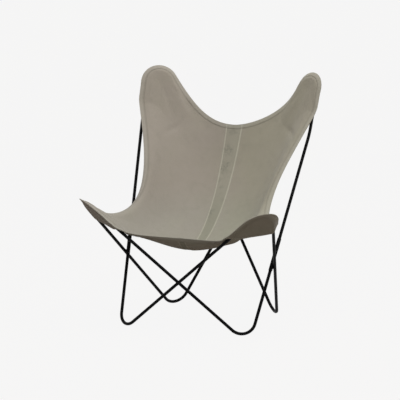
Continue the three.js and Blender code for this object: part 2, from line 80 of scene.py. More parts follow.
# %% Wires
class Wire:
    """A node's output, on which ordinary maths adds Math nodes."""

    def __init__(self, network, socket):
        self.network = network
        self.socket = socket

    def maths(self, operation, first, second):
        return self.network.node("ShaderNodeMath", {"operation": operation}, {0: first, 1: second})

    def __add__(self, other):
        return self.maths("ADD", self, other)

    def __sub__(self, other):
        return self.maths("SUBTRACT", self, other)

    def __rsub__(self, other):
        return self.maths("SUBTRACT", other, self)

    def __mul__(self, other):
        return self.maths("MULTIPLY", self, other)

    __radd__ = __add__
    __rmul__ = __mul__


# %% Networks of nodes
class Network:
    """A tree of nodes that is built by calls."""

    def __init__(self, tree):
        self.tree = tree

    def node(self, kind, settings, inputs, output=0):
        made = self.tree.nodes.new(kind)
        for key, value in settings.items():
            if key == "stops":
                self.set_stops(made.color_ramp, value)
            else:
                setattr(made, key, value)
        for key, value in inputs.items():
            self.feed(made.inputs[key], value)
        return Wire(self, made.outputs[output])

    def set_stops(self, ramp, stops):
        while len(ramp.elements) < len(stops):
            ramp.elements.new(1)
        for element, (place, shade) in zip(ramp.elements, stops):
            element.position = place
            element.color = (shade, shade, shade, 1)

    def feed(self, socket, value):
        if isinstance(value, Wire):
            self.tree.links.new(value.socket, socket)
        else:
            socket.default_value = value

    def shown(self):
        """1 for rays that look at the surroundings, and 0 for rays that light the chair."""
        kinds = ("Is Camera Ray", "Is Glossy Ray", "Is Transmission Ray")
        seen, shiny, through = (self.node("ShaderNodeLightPath", {}, {}, kind) for kind in kinds)
        return seen + shiny + through


# %% Finishes
class Finish(Network):
    """A material under construction."""

    def __init__(self, name):
        self.material = bpy.data.materials.new(name)
        self.material.use_nodes = True
        super().__init__(self.material.node_tree)
        self.shader = self.tree.nodes["Principled BSDF"]

    def set(self, **values):
        for key, value in values.items():
            self.feed(self.shader.inputs[key.replace("_", " ")], value)

    def coordinates(self):
        return self.node("ShaderNodeTexCoord", {}, {}, "Object")

    def cloth_coordinates(self):
        return self.node("ShaderNodeUVMap", {"uv_map": "cut"}, {})

    def attribute(self, name):
        return self.node("ShaderNodeAttribute", {"attribute_name": name}, {}, "Fac")

    def axis(self, vector, name):
        return self.node("ShaderNodeSeparateXYZ", {}, {0: vector}, name)

    def between(self, value, start, end):
        """A share that is 0 at the start and 1 at the end, and no less or more outside."""
        settings = {"interpolation_type": "SMOOTHSTEP"}
        return self.node("ShaderNodeMapRange", settings, {0: value, 1: start, 2: end})

    def noise(self, vector, scale, detail, roughness=0.55):
        sockets = {"Vector": vector, "Scale": scale, "Detail": detail, "Roughness": roughness}
        return self.node("ShaderNodeTexNoise", {}, sockets, "Fac")

    def ramp(self, value, *stops):
        return self.node("ShaderNodeValToRGB", {"stops": stops}, {"Fac": value})

    def mix(self, share, first, second, blend="MIX"):
        settings = {"data_type": "RGBA", "blend_type": blend}
        return self.node("ShaderNodeMix", settings, {0: share, 6: first, 7: second}, 2)

    def bump(self, height, distance, strength):
        sockets = {"Height": height, "Distance": distance, "Strength": strength}
        return self.node("ShaderNodeBump", {}, sockets)


# %% [markdown]
# ## Black coat on the rods
# The rods are steel with a thin, even, satin black coat. Close up such a coat has a faint
# orange-peel texture and small changes in gloss, and it is scuffed grey where the feet stand on
# the floor. One flat black would look drawn, so noise at three sizes gives the texture, the gloss
# and the scuffs, and the height above the floor keeps the scuffs at the feet.

# %% Black coat
BLACK = (0.0014, 0.0014, 0.0015, 1)
BLACK_WORN = (0.0042, 0.0042, 0.0045, 1)
SCUFFED = (0.06, 0.058, 0.056, 1)
SCUFF_HEIGHT = 0.007
COAT_SHINE, COAT_ROUGHNESS = 0.05, 0.4
HANDLED_ROUGHER, SCUFFED_ROUGHER = 0.16, 0.2
HANDLED_SCALE, PEEL_SCALE, SCUFF_SCALE = 14, 1400, 320
PEEL_HEIGHT = 0.00025

black_coat = Finish("satin_black_coat")
place = black_coat.coordinates()
handled = black_coat.noise(place, HANDLED_SCALE, detail=4)
peel = black_coat.noise(place, PEEL_SCALE, detail=2)
near_floor = black_coat.between(black_coat.axis(place, "Z"), SCUFF_HEIGHT, 0)
scratches = black_coat.noise(place, SCUFF_SCALE, detail=5)
scuffs = near_floor * black_coat.ramp(scratches, (0.45, 0), (0.62, 1))
paint = black_coat.mix(black_coat.ramp(handled, (0.35, 0), (0.75, 1)), BLACK, BLACK_WORN)
black_coat.set(
    Base_Color=black_coat.mix(scuffs, paint, SCUFFED),
    Roughness=COAT_ROUGHNESS + HANDLED_ROUGHER * handled + SCUFFED_ROUGHER * scuffs,
    Specular_IOR_Level=COAT_SHINE,
    Normal=black_coat.bump(peel, PEEL_HEIGHT, strength=0.35),
)
print("finish:", black_coat.material.name)

# %% [markdown]
# ## The bent rods
# Each loop is one round rod, bent at two horns and two feet and slightly at the side, whose ends
# meet inside a sleeve. It can be put together from cylinders and parts of rings, but their joints
# would show. A curve with a round bevel sweeps one circle along the whole line, so each loop is
# a line through rounded corners, those of the solids, turned into a mesh. The feet are then cut
# level with the floor, by the width of a worn spot.

# %% Corners of the loops
ROD_RADIUS = 0.006
FOOT_BEND = 0.054
BACK_HORN_BEND = 0.051
FRONT_HORN_BEND = 0.056
KNUCKLE_BEND = 0.42
LOOPS = {
    "front": {
        "back_horn": Vector((-0.36162, 0.34138, 1.049)),
        "knuckle": Vector((-0.34962, 0.20138, 0.713)),
        "front_horn": Vector((0.40438, -0.35062, 0.542)),
        "front_foot": Vector((-0.26362, -0.21762, -0.03442)),
        "back_foot": Vector((0.22027, 0.21838, -0.03816)),
        "splice": Vector((-0.30179, -0.03168, 0.29728)),
    },
    "rear": {
        "back_horn": Vector((0.36038, 0.35400, 1.049)),
        "knuckle": Vector((0.34838, 0.21400, 0.713)),
        "front_horn": Vector((-0.40562, -0.33800, 0.542)),
        "front_foot": Vector((0.26238, -0.20500, -0.03442)),
        "back_foot": Vector((-0.21492, 0.23100, -0.038)),
        "splice": Vector((0.29866, -0.02825, 0.28087)),
    },
}
print("loops:", ", ".join(LOOPS))


# %% Round bends
class Bend:
    """A round corner between two straight runs."""

    def __init__(self, before, corner, after, radius):
        self.way_back = (before - corner).normalized()
        self.way_on = (after - corner).normalized()
        half = self.way_back.angle(self.way_on) / 2
        inward = (self.way_back + self.way_on).normalized()
        self.radius = radius
        self.turn = math.pi - 2 * half
        self.centre = corner + inward * (radius / math.sin(half))
        start = corner + self.way_back * (radius / math.tan(half))
        self.first = (start - self.centre).normalized()
        self.normal = self.way_back.cross(self.way_on).normalized()
        self.second = self.first.cross(self.normal).normalized()

    def point(self, angle, beyond=0.0):
        way = self.first * math.cos(angle) + self.second * math.sin(angle)
        return self.centre + way * (self.radius + beyond)

    def way(self, angle):
        return self.second * math.cos(angle) - self.first * math.sin(angle)

    def points(self, start, end, count, beyond=0.0):
        return [self.point(angle, beyond) for angle in np.linspace(start, end, count)]


# %% The line of one rod
ROD_ENDS_APART = 0.001
BEND_STEP = math.radians(4)
LEAST_STEPS = 4


def loop_line(loop):
    up = (loop["knuckle"] - loop["front_foot"]).normalized() * (ROD_ENDS_APART / 2)
    start, end = loop["splice"] + up, loop["splice"] - up
    bends = {
        "knuckle": KNUCKLE_BEND,
        "back_horn": BACK_HORN_BEND,
        "back_foot": FOOT_BEND,
        "front_horn": FRONT_HORN_BEND,
        "front_foot": FOOT_BEND,
    }
    corners = [start, *(loop[name] for name in bends), end]
    line = [start]
    for index, radius in enumerate(bends.values()):
        bend = Bend(*corners[index : index + 3], radius)
        steps = max(LEAST_STEPS, math.ceil(bend.turn / BEND_STEP))
        line.extend(bend.points(0, bend.turn, steps + 1))
    return [*line, end]


LINES = {name: loop_line(loop) for name, loop in LOOPS.items()}
print("points on the lines:", [len(line) for line in LINES.values()])

# %% One rod along its line
ROD_ROUNDNESS = 8
SAME_SPOT = 1e-6
ROD_CREASE = math.radians(35)


def swept_rod(name, line):
    bpy.ops.object.select_all(action="DESELECT")
    bpy.ops.curve.primitive_bezier_curve_add()
    rod = bpy.context.object
    rod.name = name
    rod.data.dimensions = "3D"
    rod.data.splines.clear()
    spline = rod.data.splines.new("POLY")
    spline.points.add(len(line) - 1)
    for point, place in zip(spline.points, line):
        point.co = (*place, 1)
    rod.data.bevel_depth = ROD_RADIUS
    rod.data.bevel_resolution = ROD_ROUNDNESS
    rod.data.use_fill_caps = True
    bpy.ops.object.convert(target="MESH")
    return rod


def cut_at_floor():
    """Close the active rod's mesh, and cut off what lies below the floor."""
    bpy.ops.object.mode_set(mode="EDIT")
    bpy.ops.mesh.select_all(action="SELECT")
    bpy.ops.mesh.remove_doubles(threshold=SAME_SPOT)
    bpy.ops.mesh.select_all(action="SELECT")
    bpy.ops.mesh.bisect(
        plane_co=(0, 0, 0),
        plane_no=(0, 0, 1),
        use_fill=True,
        clear_inner=True,
        threshold=SAME_SPOT,
    )
    bpy.ops.mesh.select_all(action="SELECT")
    bpy.ops.mesh.normals_make_consistent(inside=False)
    bpy.ops.object.mode_set(mode="OBJECT")
    bpy.ops.object.shade_smooth_by_angle(angle=ROD_CREASE)


# %% Rods in the solids' places
def coat(piece, finish):
    piece.data.materials.clear()
    piece.data.materials.append(finish.material)


def stand_for(piece, node, finish):
    """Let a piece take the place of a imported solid, on the chair's only body."""
    coat(piece, finish)
    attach(piece, "root")
    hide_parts(node)


for name, line in LINES.items():
    rod = swept_rod(f"{name}_loop_rod", line)
    cut_at_floor()
    stand_for(rod, f"frame_loop_{name}", black_coat)
    print(rod.name, len(rod.data.polygons), "faces")

# %% [markdown]
# ## Sleeves
# A steel sleeve covers the two rod ends of each loop, just above the side crossing. It is a
# short tube with softened rims. A thicker stretch of rod would do from far away, but close up
# the rim and the dark ring of the gap show that it is a tube. So a cylinder is inset at both
# ends, the inner faces are bridged into a bore, and a bevel takes the sharp edge off the rims.

# %% Help for modelling in edit mode
def only(piece):
    """Select one piece, since an operator acts on all that is selected."""
    bpy.ops.object.select_all(action="DESELECT")
    piece.select_set(True)
    bpy.context.view_layer.objects.active = piece


def select_faces(piece, wanted):
    """Select in edit mode the faces for which wanted says yes."""
    bpy.ops.object.mode_set(mode="EDIT")
    bpy.ops.mesh.select_mode(type="FACE")
    bpy.ops.mesh.select_all(action="DESELECT")
    bpy.ops.object.mode_set(mode="OBJECT")
    for face in piece.data.polygons:
        face.select = wanted(face)
    bpy.ops.object.mode_set(mode="EDIT")


def apply_modifier(piece, kind, **settings):
    only(piece)
    modifier = piece.modifiers.new(kind.lower(), kind)
    for key, value in settings.items():
        setattr(modifier, key, value)
    bpy.ops.object.modifier_apply(modifier=modifier.name)


# %% Sleeves
SLEEVE_RADIUS = 0.0075
SLEEVE_LENGTH = 0.13
SLEEVE_WALL = 0.0012
SLEEVE_SIDES = 40
RIM_RADIUS, RIM_STEPS, RIM_ANGLE = 0.0006, 3, math.radians(50)
SLEEVE_CREASE = math.radians(40)
NEARLY_ALONG = 0.9


def splice_sleeve(name, middle, direction):
    bpy.ops.object.select_all(action="DESELECT")
    bpy.ops.mesh.primitive_cylinder_add(
        vertices=SLEEVE_SIDES, radius=SLEEVE_RADIUS, depth=SLEEVE_LENGTH
    )
    tube = bpy.context.object
    tube.name = name
    select_faces(tube, lambda face: abs(face.normal.z) > NEARLY_ALONG)
    bpy.ops.mesh.inset(thickness=SLEEVE_WALL)
    bpy.ops.mesh.bridge_edge_loops()
    bpy.ops.object.mode_set(mode="OBJECT")
    apply_modifier(tube, "BEVEL", width=RIM_RADIUS, segments=RIM_STEPS, angle_limit=RIM_ANGLE)
    tube.rotation_mode = "QUATERNION"
    tube.rotation_quaternion = direction.to_track_quat("Z", "Y")
    tube.location = middle
    only(tube)
    bpy.ops.object.transform_apply(location=True, rotation=True, scale=True)
    bpy.ops.object.shade_smooth_by_angle(angle=SLEEVE_CREASE)
    return tube


for name, side in (("front", "left"), ("rear", "right")):
    loop = LOOPS[name]
    direction = (loop["knuckle"] - loop["front_foot"]).normalized()
    tube = splice_sleeve(f"sleeve_{side}", loop["splice"], direction)
    stand_for(tube, f"splice_sleeve_{side}", black_coat)
    print(tube.name, len(tube.data.polygons), "faces")

# %% [markdown]
# ## Weld beads
# The rods are welded where they cross. The beads can be modelled anew, but those of the solids
# have the right shape and are no larger than a thumbnail. So they stay, with a finish of their
# own: the same black coat over the ripples that a weld leaves.

# %% Weld finish
RIPPLE = {"Scale": 180.0, "Distortion": 3.0, "Detail": 2.0}
GRIT_SCALE, GRIT_SHARE, GRIT_ROUGHER = 700, 0.4, 0.2
WELD_HEIGHT = 0.0005

weld_coat = Finish("black_coat_on_weld")
place = weld_coat.coordinates()
ripple = weld_coat.node(
    "ShaderNodeTexWave",
    {"wave_type": "RINGS", "rings_direction": "Z"},
    {"Vector": place, **RIPPLE},
    "Fac",
)
grit = weld_coat.noise(place, GRIT_SCALE, detail=3)
weld_coat.set(
    Base_Color=weld_coat.mix(grit, BLACK, BLACK_WORN),
    Roughness=COAT_ROUGHNESS + GRIT_ROUGHER * grit,
    Specular_IOR_Level=COAT_SHINE,
    Normal=weld_coat.bump(ripple + GRIT_SHARE * grit, WELD_HEIGHT, strength=0.6),
)
for spot in ("front", "back", "left", "right"):
    coat(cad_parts[f"weld_{spot}_crossing"], weld_coat)
print("finish:", weld_coat.material.name)

# %% [markdown]
# ## The sling's shape
# The cloth is stretched between the horns, so its edges make four hollow curves. A simulation
# could hang the cloth, but it needs the real cut, which no photo gives. The edges can be seen,
# so each half of the sling is spanned between its top edge, its side edge with the waist, its
# front edge and the middle line. The edges are those of the solids, moved by a few millimetres
# where the photo shows a left half that isn't quite the right half mirrored. Seen from the front,
# the left half has the number -1 and the right half 1.

# %% Lines, and the middle of the sling
MIDDLE_X = -0.00062
TOP_MIDDLE = np.array((MIDDLE_X, 0.31769, 0.715))
FRONT_MIDDLE = np.array((MIDDLE_X, -0.23631, 0.36))
BACK_LEAN = np.array((MIDDLE_X, 0.16069, 0.308))
SEAT_SAG = np.array((MIDDLE_X, -0.16631, 0.215))
CURVE_POINTS, MIDDLE_POINTS = 120, 400
LEAST_STEP = 1e-7


def bezier(first, second, third, fourth, count=CURVE_POINTS):
    t = np.linspace(0, 1, count)[:, None]
    s = 1 - t
    return s**3 * first + 3 * s * s * t * second + 3 * s * t * t * third + t**3 * fourth


class Edge:
    """A line that is read by the share of its length."""

    def __init__(self, *stretches):
        points = np.vstack([np.array(stretch, float) for stretch in stretches])
        steps = np.linalg.norm(np.diff(points, axis=0), axis=1)
        self.points = points[np.concatenate(([True], steps > LEAST_STEP))]
        along = np.concatenate(([0.0], np.cumsum(steps[steps > LEAST_STEP])))
        self.length = along[-1]
        self.shares = along / self.length

    def at(self, share):
        columns = [np.interp(share, self.shares, self.points[:, axis]) for axis in range(3)]
        return np.stack(columns, axis=-1)


MIDDLE_LINE = Edge(bezier(TOP_MIDDLE, BACK_LEAN, SEAT_SAG, FRONT_MIDDLE, MIDDLE_POINTS))
print("middle line", round(MIDDLE_LINE.length, 4), "m")

# %% [markdown]
# ## Cloth on a horn
# Round each horn the edge follows the rod's own bend, mostly lower than the rod's top, because
# the cloth lies on the rod and slopes down to its sewn edge. Where they touch could be found by
# testing the two meshes against each other. The rod is an arc and two straight runs in one
# plane, though, so the distance from it is a short formula, and the cloth is lifted by it.

# %% A horn that carries the cloth
CLOTH_THICKNESS = 0.0013
CLOTH_LIFT = 0.0082
EDGE_BEYOND_ROD = 0.024
LIFT_FADES_OVER = 0.060
SLOPE_ROUNDING = 0.06
ARC_POINTS = 40


def unit(vectors):
    return vectors / np.linalg.norm(vectors, axis=-1, keepdims=True)


class Horn:
    """A bend of the rod, with the way that is up for the cloth on it."""

    def __init__(self, bend, upward, edge_height, tip_reach=0.0):
        self.bend = bend
        self.edge_height = edge_height
        self.tip_reach = tip_reach
        self.up = np.array(bend.normal) * math.copysign(1, bend.normal.dot(upward))
        self.centre, self.radius = np.array(bend.centre), bend.radius
        self.way_back, self.way_on = np.array(bend.way_back), np.array(bend.way_on)
        self.tip = np.array(bend.point(bend.turn / 2))

    def edge_arc(self, name, end):
        """The cloth's edge, from the middle of the bend to one end of it."""
        middle = self.bend.turn / 2
        points = np.array(self.bend.points(middle, end, ARC_POINTS, EDGE_BEYOND_ROD))
        heights = np.linspace(self.edge_height["middle"], self.edge_height[name], ARC_POINTS)
        reach = self.tip_reach * np.cos(np.linspace(0, math.pi / 2, ARC_POINTS)) ** 2
        out = unit(points - self.centre)
        return points + self.up * heights[:, None] + out * reach[:, None]

    def height(self, points):
        return (points - self.centre) @ self.up

    def beyond(self, points):
        """Distance out from the rod, in the plane of the bend."""
        flat = points - self.centre
        flat = flat - (flat @ self.up)[..., None] * self.up
        last = np.array(self.bend.point(self.bend.turn) - self.bend.centre) / self.radius
        straight = np.maximum(flat @ np.array(self.bend.first), flat @ last)
        is_round = (flat @ self.way_back < 0) & (flat @ self.way_on < 0)
        return np.where(is_round, np.linalg.norm(flat, axis=-1), straight) - self.radius

    def carry(self, points):
        """Lift the cloth on to the rod where it would hang through it."""
        beyond = self.beyond(points)
        inside = np.exp(-((np.minimum(beyond, 0) / LIFT_FADES_OVER) ** 2))
        out = np.clip(beyond / EDGE_BEYOND_ROD, 0, 1)
        share = inside * (1 - (1 + SLOPE_ROUNDING) * out * out / (out + SLOPE_ROUNDING))
        lack = np.maximum(0, CLOTH_LIFT - self.height(points))
        return points + (share * lack)[..., None] * self.up


# %% The four horns
BACK_EDGE_HEIGHT = {"side": 0.003, "middle": -0.001, "cross": -0.005}
FRONT_EDGE_HEIGHT = {"side": 0.012, "middle": -0.007, "cross": -0.007}
FRONT_TIP_REACH = {-1: 0.012, 1: 0.007}


def back_horn(hand):
    loop = LOOPS["front" if hand < 0 else "rear"]
    bend = Bend(loop["knuckle"], loop["back_horn"], loop["back_foot"], BACK_HORN_BEND)
    return Horn(bend, Vector((0, -1, 0)), BACK_EDGE_HEIGHT)


def front_horn(hand):
    loop = LOOPS["rear" if hand < 0 else "front"]
    bend = Bend(loop["front_foot"], loop["front_horn"], loop["back_foot"], FRONT_HORN_BEND)
    return Horn(bend, Vector((0, 0, 1)), FRONT_EDGE_HEIGHT, FRONT_TIP_REACH[hand])


HORNS = {hand: (back_horn(hand), front_horn(hand)) for hand in (-1, 1)}
print("horns' tips:", [horn.tip.round(3).tolist() for pair in HORNS.values() for horn in pair])

# %% [markdown]
# ## One half of the sling
# Each edge leaves its horn along the rod and then swings away in a hollow curve, so it is an arc
# and one or two Bezier curves. The half between the edges can be modelled by hand as a surface
# patch, point by point. Blending the opposite edges into each other gives the same patch from
# the edges alone, so it follows when an edge moves. Beside the strip the seat is a little higher
# than the blend, as the photo shows.

# %% Edges of a half
WAIST = np.array((0.275, 0.02869, 0.507))
WAIST_RUN_UP = np.array((0.0108, 0.0936, 0.1107))
WAIST_RUN_DOWN = np.array((-0.0132, -0.1144, -0.1353))
TOP_LEAVES_EARLY, TOP_STRAIGHT_LENGTH = {-1: 0.150, 1: 0.0}, {-1: 0.0, 1: 0.040}
TOP_ALONG_ROD, TOP_ALONG_MIDDLE = {-1: 0.139, 1: 0.112}, {-1: 0.115, 1: 0.049}
BACK_STRAIGHT_LENGTH, SIDE_ALONG_BACK_ROD = 0.072, 0.031
SIDE_STRAIGHT_LENGTH, SIDE_ALONG_FRONT_ROD = 0.040, 0.035
SIDE_EDGE_RISE = {-1: 0.003, 1: 0.010}
FRONT_STRAIGHT_LENGTH, FRONT_ALONG_ROD, FRONT_ALONG_MIDDLE = 0.078, 0.048, 0.150


def top_edge(hand, back):
    end = back.bend.turn - TOP_LEAVES_EARLY[hand]
    arc = back.edge_arc("cross", end)[::-1]
    way = np.array(back.bend.way(end))
    leave = arc[0] + way * TOP_STRAIGHT_LENGTH[hand]
    beyond = leave + way * TOP_ALONG_ROD[hand]
    middle = TOP_MIDDLE + np.array((hand * TOP_ALONG_MIDDLE[hand], 0, 0))
    return Edge(bezier(TOP_MIDDLE, middle, beyond, leave), arc)


def front_edge(hand, front):
    arc = front.edge_arc("cross", 0)[::-1]
    middle = FRONT_MIDDLE + np.array((hand * FRONT_ALONG_MIDDLE, 0, 0))
    leave = arc[0] + front.way_back * FRONT_STRAIGHT_LENGTH
    beyond = leave + front.way_back * FRONT_ALONG_ROD
    return Edge(bezier(FRONT_MIDDLE, middle, beyond, leave), arc)


def side_edge(hand, back, front):
    mirror = np.array((hand, 1, 1))
    back_arc = back.edge_arc("side", 0)
    front_arc = front.edge_arc("side", front.bend.turn)[::-1]
    waist = WAIST * mirror + (MIDDLE_X, 0, 0)
    above, below = waist + WAIST_RUN_UP * mirror, waist + WAIST_RUN_DOWN * mirror
    turn_off = back_arc[-1] + back.way_back * BACK_STRAIGHT_LENGTH
    start = turn_off + back.way_back * SIDE_ALONG_BACK_ROD
    straight = front.way_on * SIDE_STRAIGHT_LENGTH + front.up * SIDE_EDGE_RISE[hand]
    leave = front_arc[0] + straight
    beyond = leave + unit(straight) * SIDE_ALONG_FRONT_ROD
    upper = bezier(turn_off, start, above, waist)
    lower = bezier(waist, below, beyond, leave)
    return Edge(back_arc, upper, lower, front_arc)


# %% Soft steps
def smooth(value, low, high):
    t = np.clip((value - low) / (high - low), 0, 1)
    return t * t * (3 - 2 * t)


def plateau(value, rise, fall):
    """1 between a rise and a fall, and 0 before and after them."""
    return smooth(value, *rise) * (1 - smooth(value, *fall))


# %% Cloth of a half
FULLNESS = 2.5
SEAT_LIFT = 0.022
LIFTED_ACROSS = ((0.0, 0.45), (0.75, 1.0))
LIFTED_DOWN = ((0.55, 0.77), (0.92, 1.0))
NORMAL_STEP = 0.004
LEVEL_MIDDLE = 0.04


class Half:
    """The left (-1) or right (1) half of the sling, between its edges."""

    def __init__(self, hand):
        self.hand = hand
        self.back, self.front = HORNS[hand]
        self.top_edge = top_edge(hand, self.back)
        self.front_edge = front_edge(hand, self.front)
        self.side_edge = side_edge(hand, self.back, self.front)

    def hung(self, u, v):
        """Points on the cloth's middle, u from the middle to the side, v from top to front."""
        u, v = np.broadcast_arrays(np.asarray(u, float), np.asarray(v, float))
        flare = (u**FULLNESS)[..., None]
        down = v[..., None]
        corners = self.side_edge.points[0] * (1 - down) + self.side_edge.points[-1] * down
        middles = TOP_MIDDLE * (1 - down) + FRONT_MIDDLE * down
        spanned = self.top_edge.at(u) * (1 - down) + self.front_edge.at(u) * down
        spanned = spanned + (MIDDLE_LINE.at(v) - middles) * (1 - flare)
        spanned = spanned + (self.side_edge.at(v) - corners) * flare
        spanned[..., 2] += SEAT_LIFT * plateau(u, *LIFTED_ACROSS) * plateau(v, *LIFTED_DOWN)
        return self.front.carry(self.back.carry(spanned))

    def normal(self, u, v):
        """Unit vectors out of the cloth, on the sitter's side, that agree where the halves meet."""
        u, v = np.broadcast_arrays(np.asarray(u, float), np.asarray(v, float))
        step = NORMAL_STEP
        inner, down = np.clip(u, step, 1 - step), np.clip(v, step, 1 - step)
        along_u = self.hung(inner + step, down) - self.hung(inner - step, down)
        along_v = self.hung(inner, down + step) - self.hung(inner, down - step)
        normal = np.cross(along_v, along_u) * self.hand
        normal[..., 0] *= np.clip(u / LEVEL_MIDDLE, 0, 1)
        return unit(normal)


HALVES = {hand: Half(hand) for hand in HORNS}
for hand, half in HALVES.items():
    edges = (half.top_edge, half.front_edge, half.side_edge)
    print("half", hand, [round(edge.length, 3) for edge in edges])

# %% [markdown]
# ## Folds, hems and wear in the cloth
# Canvas under tension isn't a perfect surface. The hem is a little thicker than the rest and
# its stitches pull a shallow groove, small folds run out from the horns along the pull, and
# there is one soft crease in each wing. They can be sculpted by hand, but then they are lost
# whenever the surface changes. So they are heights of a few millimetres at most above the smooth
# surface, worked out point by point.

# %% Distance from the edge
EDGE_POINTS = 600
EVEN_SHARES = np.linspace(0, 1, EDGE_POINTS)
AT_ONCE = 64


def outline_of(half):
    edges = (half.top_edge, half.side_edge, half.front_edge)
    top, side, front = (edge.at(EVEN_SHARES) for edge in edges)
    return np.vstack([top, side, front[::-1]])


OUTLINES = {hand: outline_of(half) for hand, half in HALVES.items()}


def edge_distance(hand, points):
    """Distance from each point to the nearest point of the cloth's edge, in metres."""
    flat = points.reshape(-1, 3)
    outline = OUTLINES[hand]
    nearest = np.full(len(flat), np.inf)
    for start in range(0, len(outline), AT_ONCE):
        part = outline[start : start + AT_ONCE]
        gaps = np.linalg.norm(flat[:, None, :] - part[None, :, :], axis=2)
        nearest = np.minimum(nearest, gaps.min(axis=1))
    return nearest.reshape(points.shape[:-1])


print("points on the outlines:", [len(outline) for outline in OUTLINES.values()])

# %% Folds and creases
FOLD_RISE = 0.0005
FOLD_WAVES = ((17, 1.3, 1.0), (29, 0.4, 0.5))
FOLD_START, FOLD_END = (0.05, 0.13), (0.16, 0.36)
CREASES = {
    -1: ((0.740, 0.266), (0.527, 0.128), 0.0024),
    1: ((0.517, 0.101), (0.910, 0.318), 0.0034),
}
CREASE_WIDTH = 0.012
CREASE_ENDS = (0.04, 0.96)
CLOTH_ACROSS, CLOTH_DOWN = 0.45, 0.95


def bell(value, middle, width):
    return np.exp(-(((value - middle) / width) ** 2))


def swell(points, size):
    """Soft hills and hollows of about a given size, between -1 and 1."""
    flat = points.reshape(-1, 3) / size
    values = [noise.noise(Vector(point)) for point in flat]
    return np.array(values).reshape(points.shape[:-1])


def horn_folds(points, horn):
    """Small folds that run out from a horn along the pull of the cloth."""
    way = unit(horn.way_back + horn.way_on)
    away = points - horn.tip
    distance = np.linalg.norm(away, axis=-1)
    angle = np.arctan2(away @ np.cross(horn.up, way), away @ way)
    ripple = sum(share * np.sin(waves * angle + shift) for waves, shift, share in FOLD_WAVES)
    return FOLD_RISE * ripple * plateau(distance, FOLD_START, FOLD_END)


def crease_height(u, v, crease):
    (u0, v0), (u1, v1), depth = crease
    run = np.array((u1 - u0, v1 - v0))
    share = np.clip(((u - u0) * run[0] + (v - v0) * run[1]) / (run @ run), 0, 1)
    across = (u - u0 - share * run[0]) * CLOTH_ACROSS
    down = (v - v0 - share * run[1]) * CLOTH_DOWN
    along = np.sin(math.pi * np.clip(share, *CREASE_ENDS))
    return -depth * bell(np.hypot(across, down), 0, CREASE_WIDTH) * along


# %% Heights above the smooth surface
HEM_WIDTH = 0.0175
HEM_RISE = 0.0006
HEM_STEP_IN, HEM_STEP_OUT = 0.002, 0.001
GROOVE_DEPTH, GROOVE_WIDTH = 0.0008, 0.0024
PUCKER_SIZE, PUCKER_WAVES, PUCKER_SHARE = 0.03, 9, 0.5
SWELLS = ((0.14, 0.0013), (0.05, 0.00052))
SWELL_START = 0.06


def relief(half, u, v, points):
    """Height of the cloth's folds and hems at each point, and its distance from the edge."""
    inset = edge_distance(half.hand, points)
    hem = HEM_RISE * (1 - smooth(inset, HEM_WIDTH - HEM_STEP_IN, HEM_WIDTH + HEM_STEP_OUT))
    pucker = 1 + PUCKER_SHARE * np.sin(swell(points, PUCKER_SIZE) * PUCKER_WAVES)
    height = hem - GROOVE_DEPTH * bell(inset, HEM_WIDTH, GROOVE_WIDTH) * pucker
    for horn in (half.back, half.front):
        height = height + horn_folds(points, horn)
    inside = smooth(inset, 0.0, SWELL_START)
    for size, rise in SWELLS:
        height = height + rise * inside * swell(points, size)
    return height + crease_height(u, v, CREASES[half.hand]), inset


def cloth_at(half, u, v, height=0.0):
    """Points on the creased cloth, lifted by a height, with normals and edge distances."""
    points = half.hung(u, v)
    normals = half.normal(u, v)
    folds, inset = relief(half, u, v, points)
    return points + normals * (folds + height)[..., None], normals, inset


# %% [markdown]
# ## Cutting and hanging a sheet
# A sheet starts as a flat grid, as cloth does when it is cut. It could be sewn and draped by
# simulation, but stretched canvas keeps the shape that its edges give it. So every vertex is
# moved straight to its place in the hung cloth, the cut lengths are kept as a UV map for the
# weave, and Solidify gives the sheet the thickness of canvas.

# %% A grid that is hung
def hung_grid(name, points):
    """A grid whose vertices are moved to the given points, and its vertices' rows and columns."""
    rows, columns = points.shape[0] - 1, points.shape[1] - 1
    bpy.ops.object.select_all(action="DESELECT")
    bpy.ops.mesh.primitive_grid_add(x_subdivisions=columns, y_subdivisions=rows, size=2)
    piece = bpy.context.object
    piece.name = name
    # A grid of size 2 lies between -1 and 1, so places on it give rows and columns.
    vertices = piece.data.vertices
    flat = np.empty(len(vertices) * 3)
    vertices.foreach_get("co", flat)
    flat = flat.reshape(-1, 3)
    column = np.rint((flat[:, 0] + 1) / 2 * columns).astype(int)
    row = np.rint((flat[:, 1] + 1) / 2 * rows).astype(int)
    vertices.foreach_set("co", points[row, column].ravel())
    return piece, row, column


def cut_lengths(points):
    """Lengths along the cloth from its first column and from its first row."""
    across = np.linalg.norm(np.diff(points, axis=1), axis=2).cumsum(axis=1)
    down = np.linalg.norm(np.diff(points, axis=0), axis=2).cumsum(axis=0)
    return np.pad(across, ((0, 0), (1, 0))), np.pad(down, ((1, 0), (0, 0)))


def keep_cut(mesh, lengths):
    """Write each vertex's place in the cut cloth as the UV map."""
    cut = mesh.uv_layers[0]
    cut.name = "cut"
    corner = np.empty(len(mesh.loops), int)
    mesh.loops.foreach_get("vertex_index", corner)
    cut.data.foreach_set("uv", lengths[corner].ravel())


# %% A sheet from a grid of points
CLOTH_CREASE = math.radians(45)


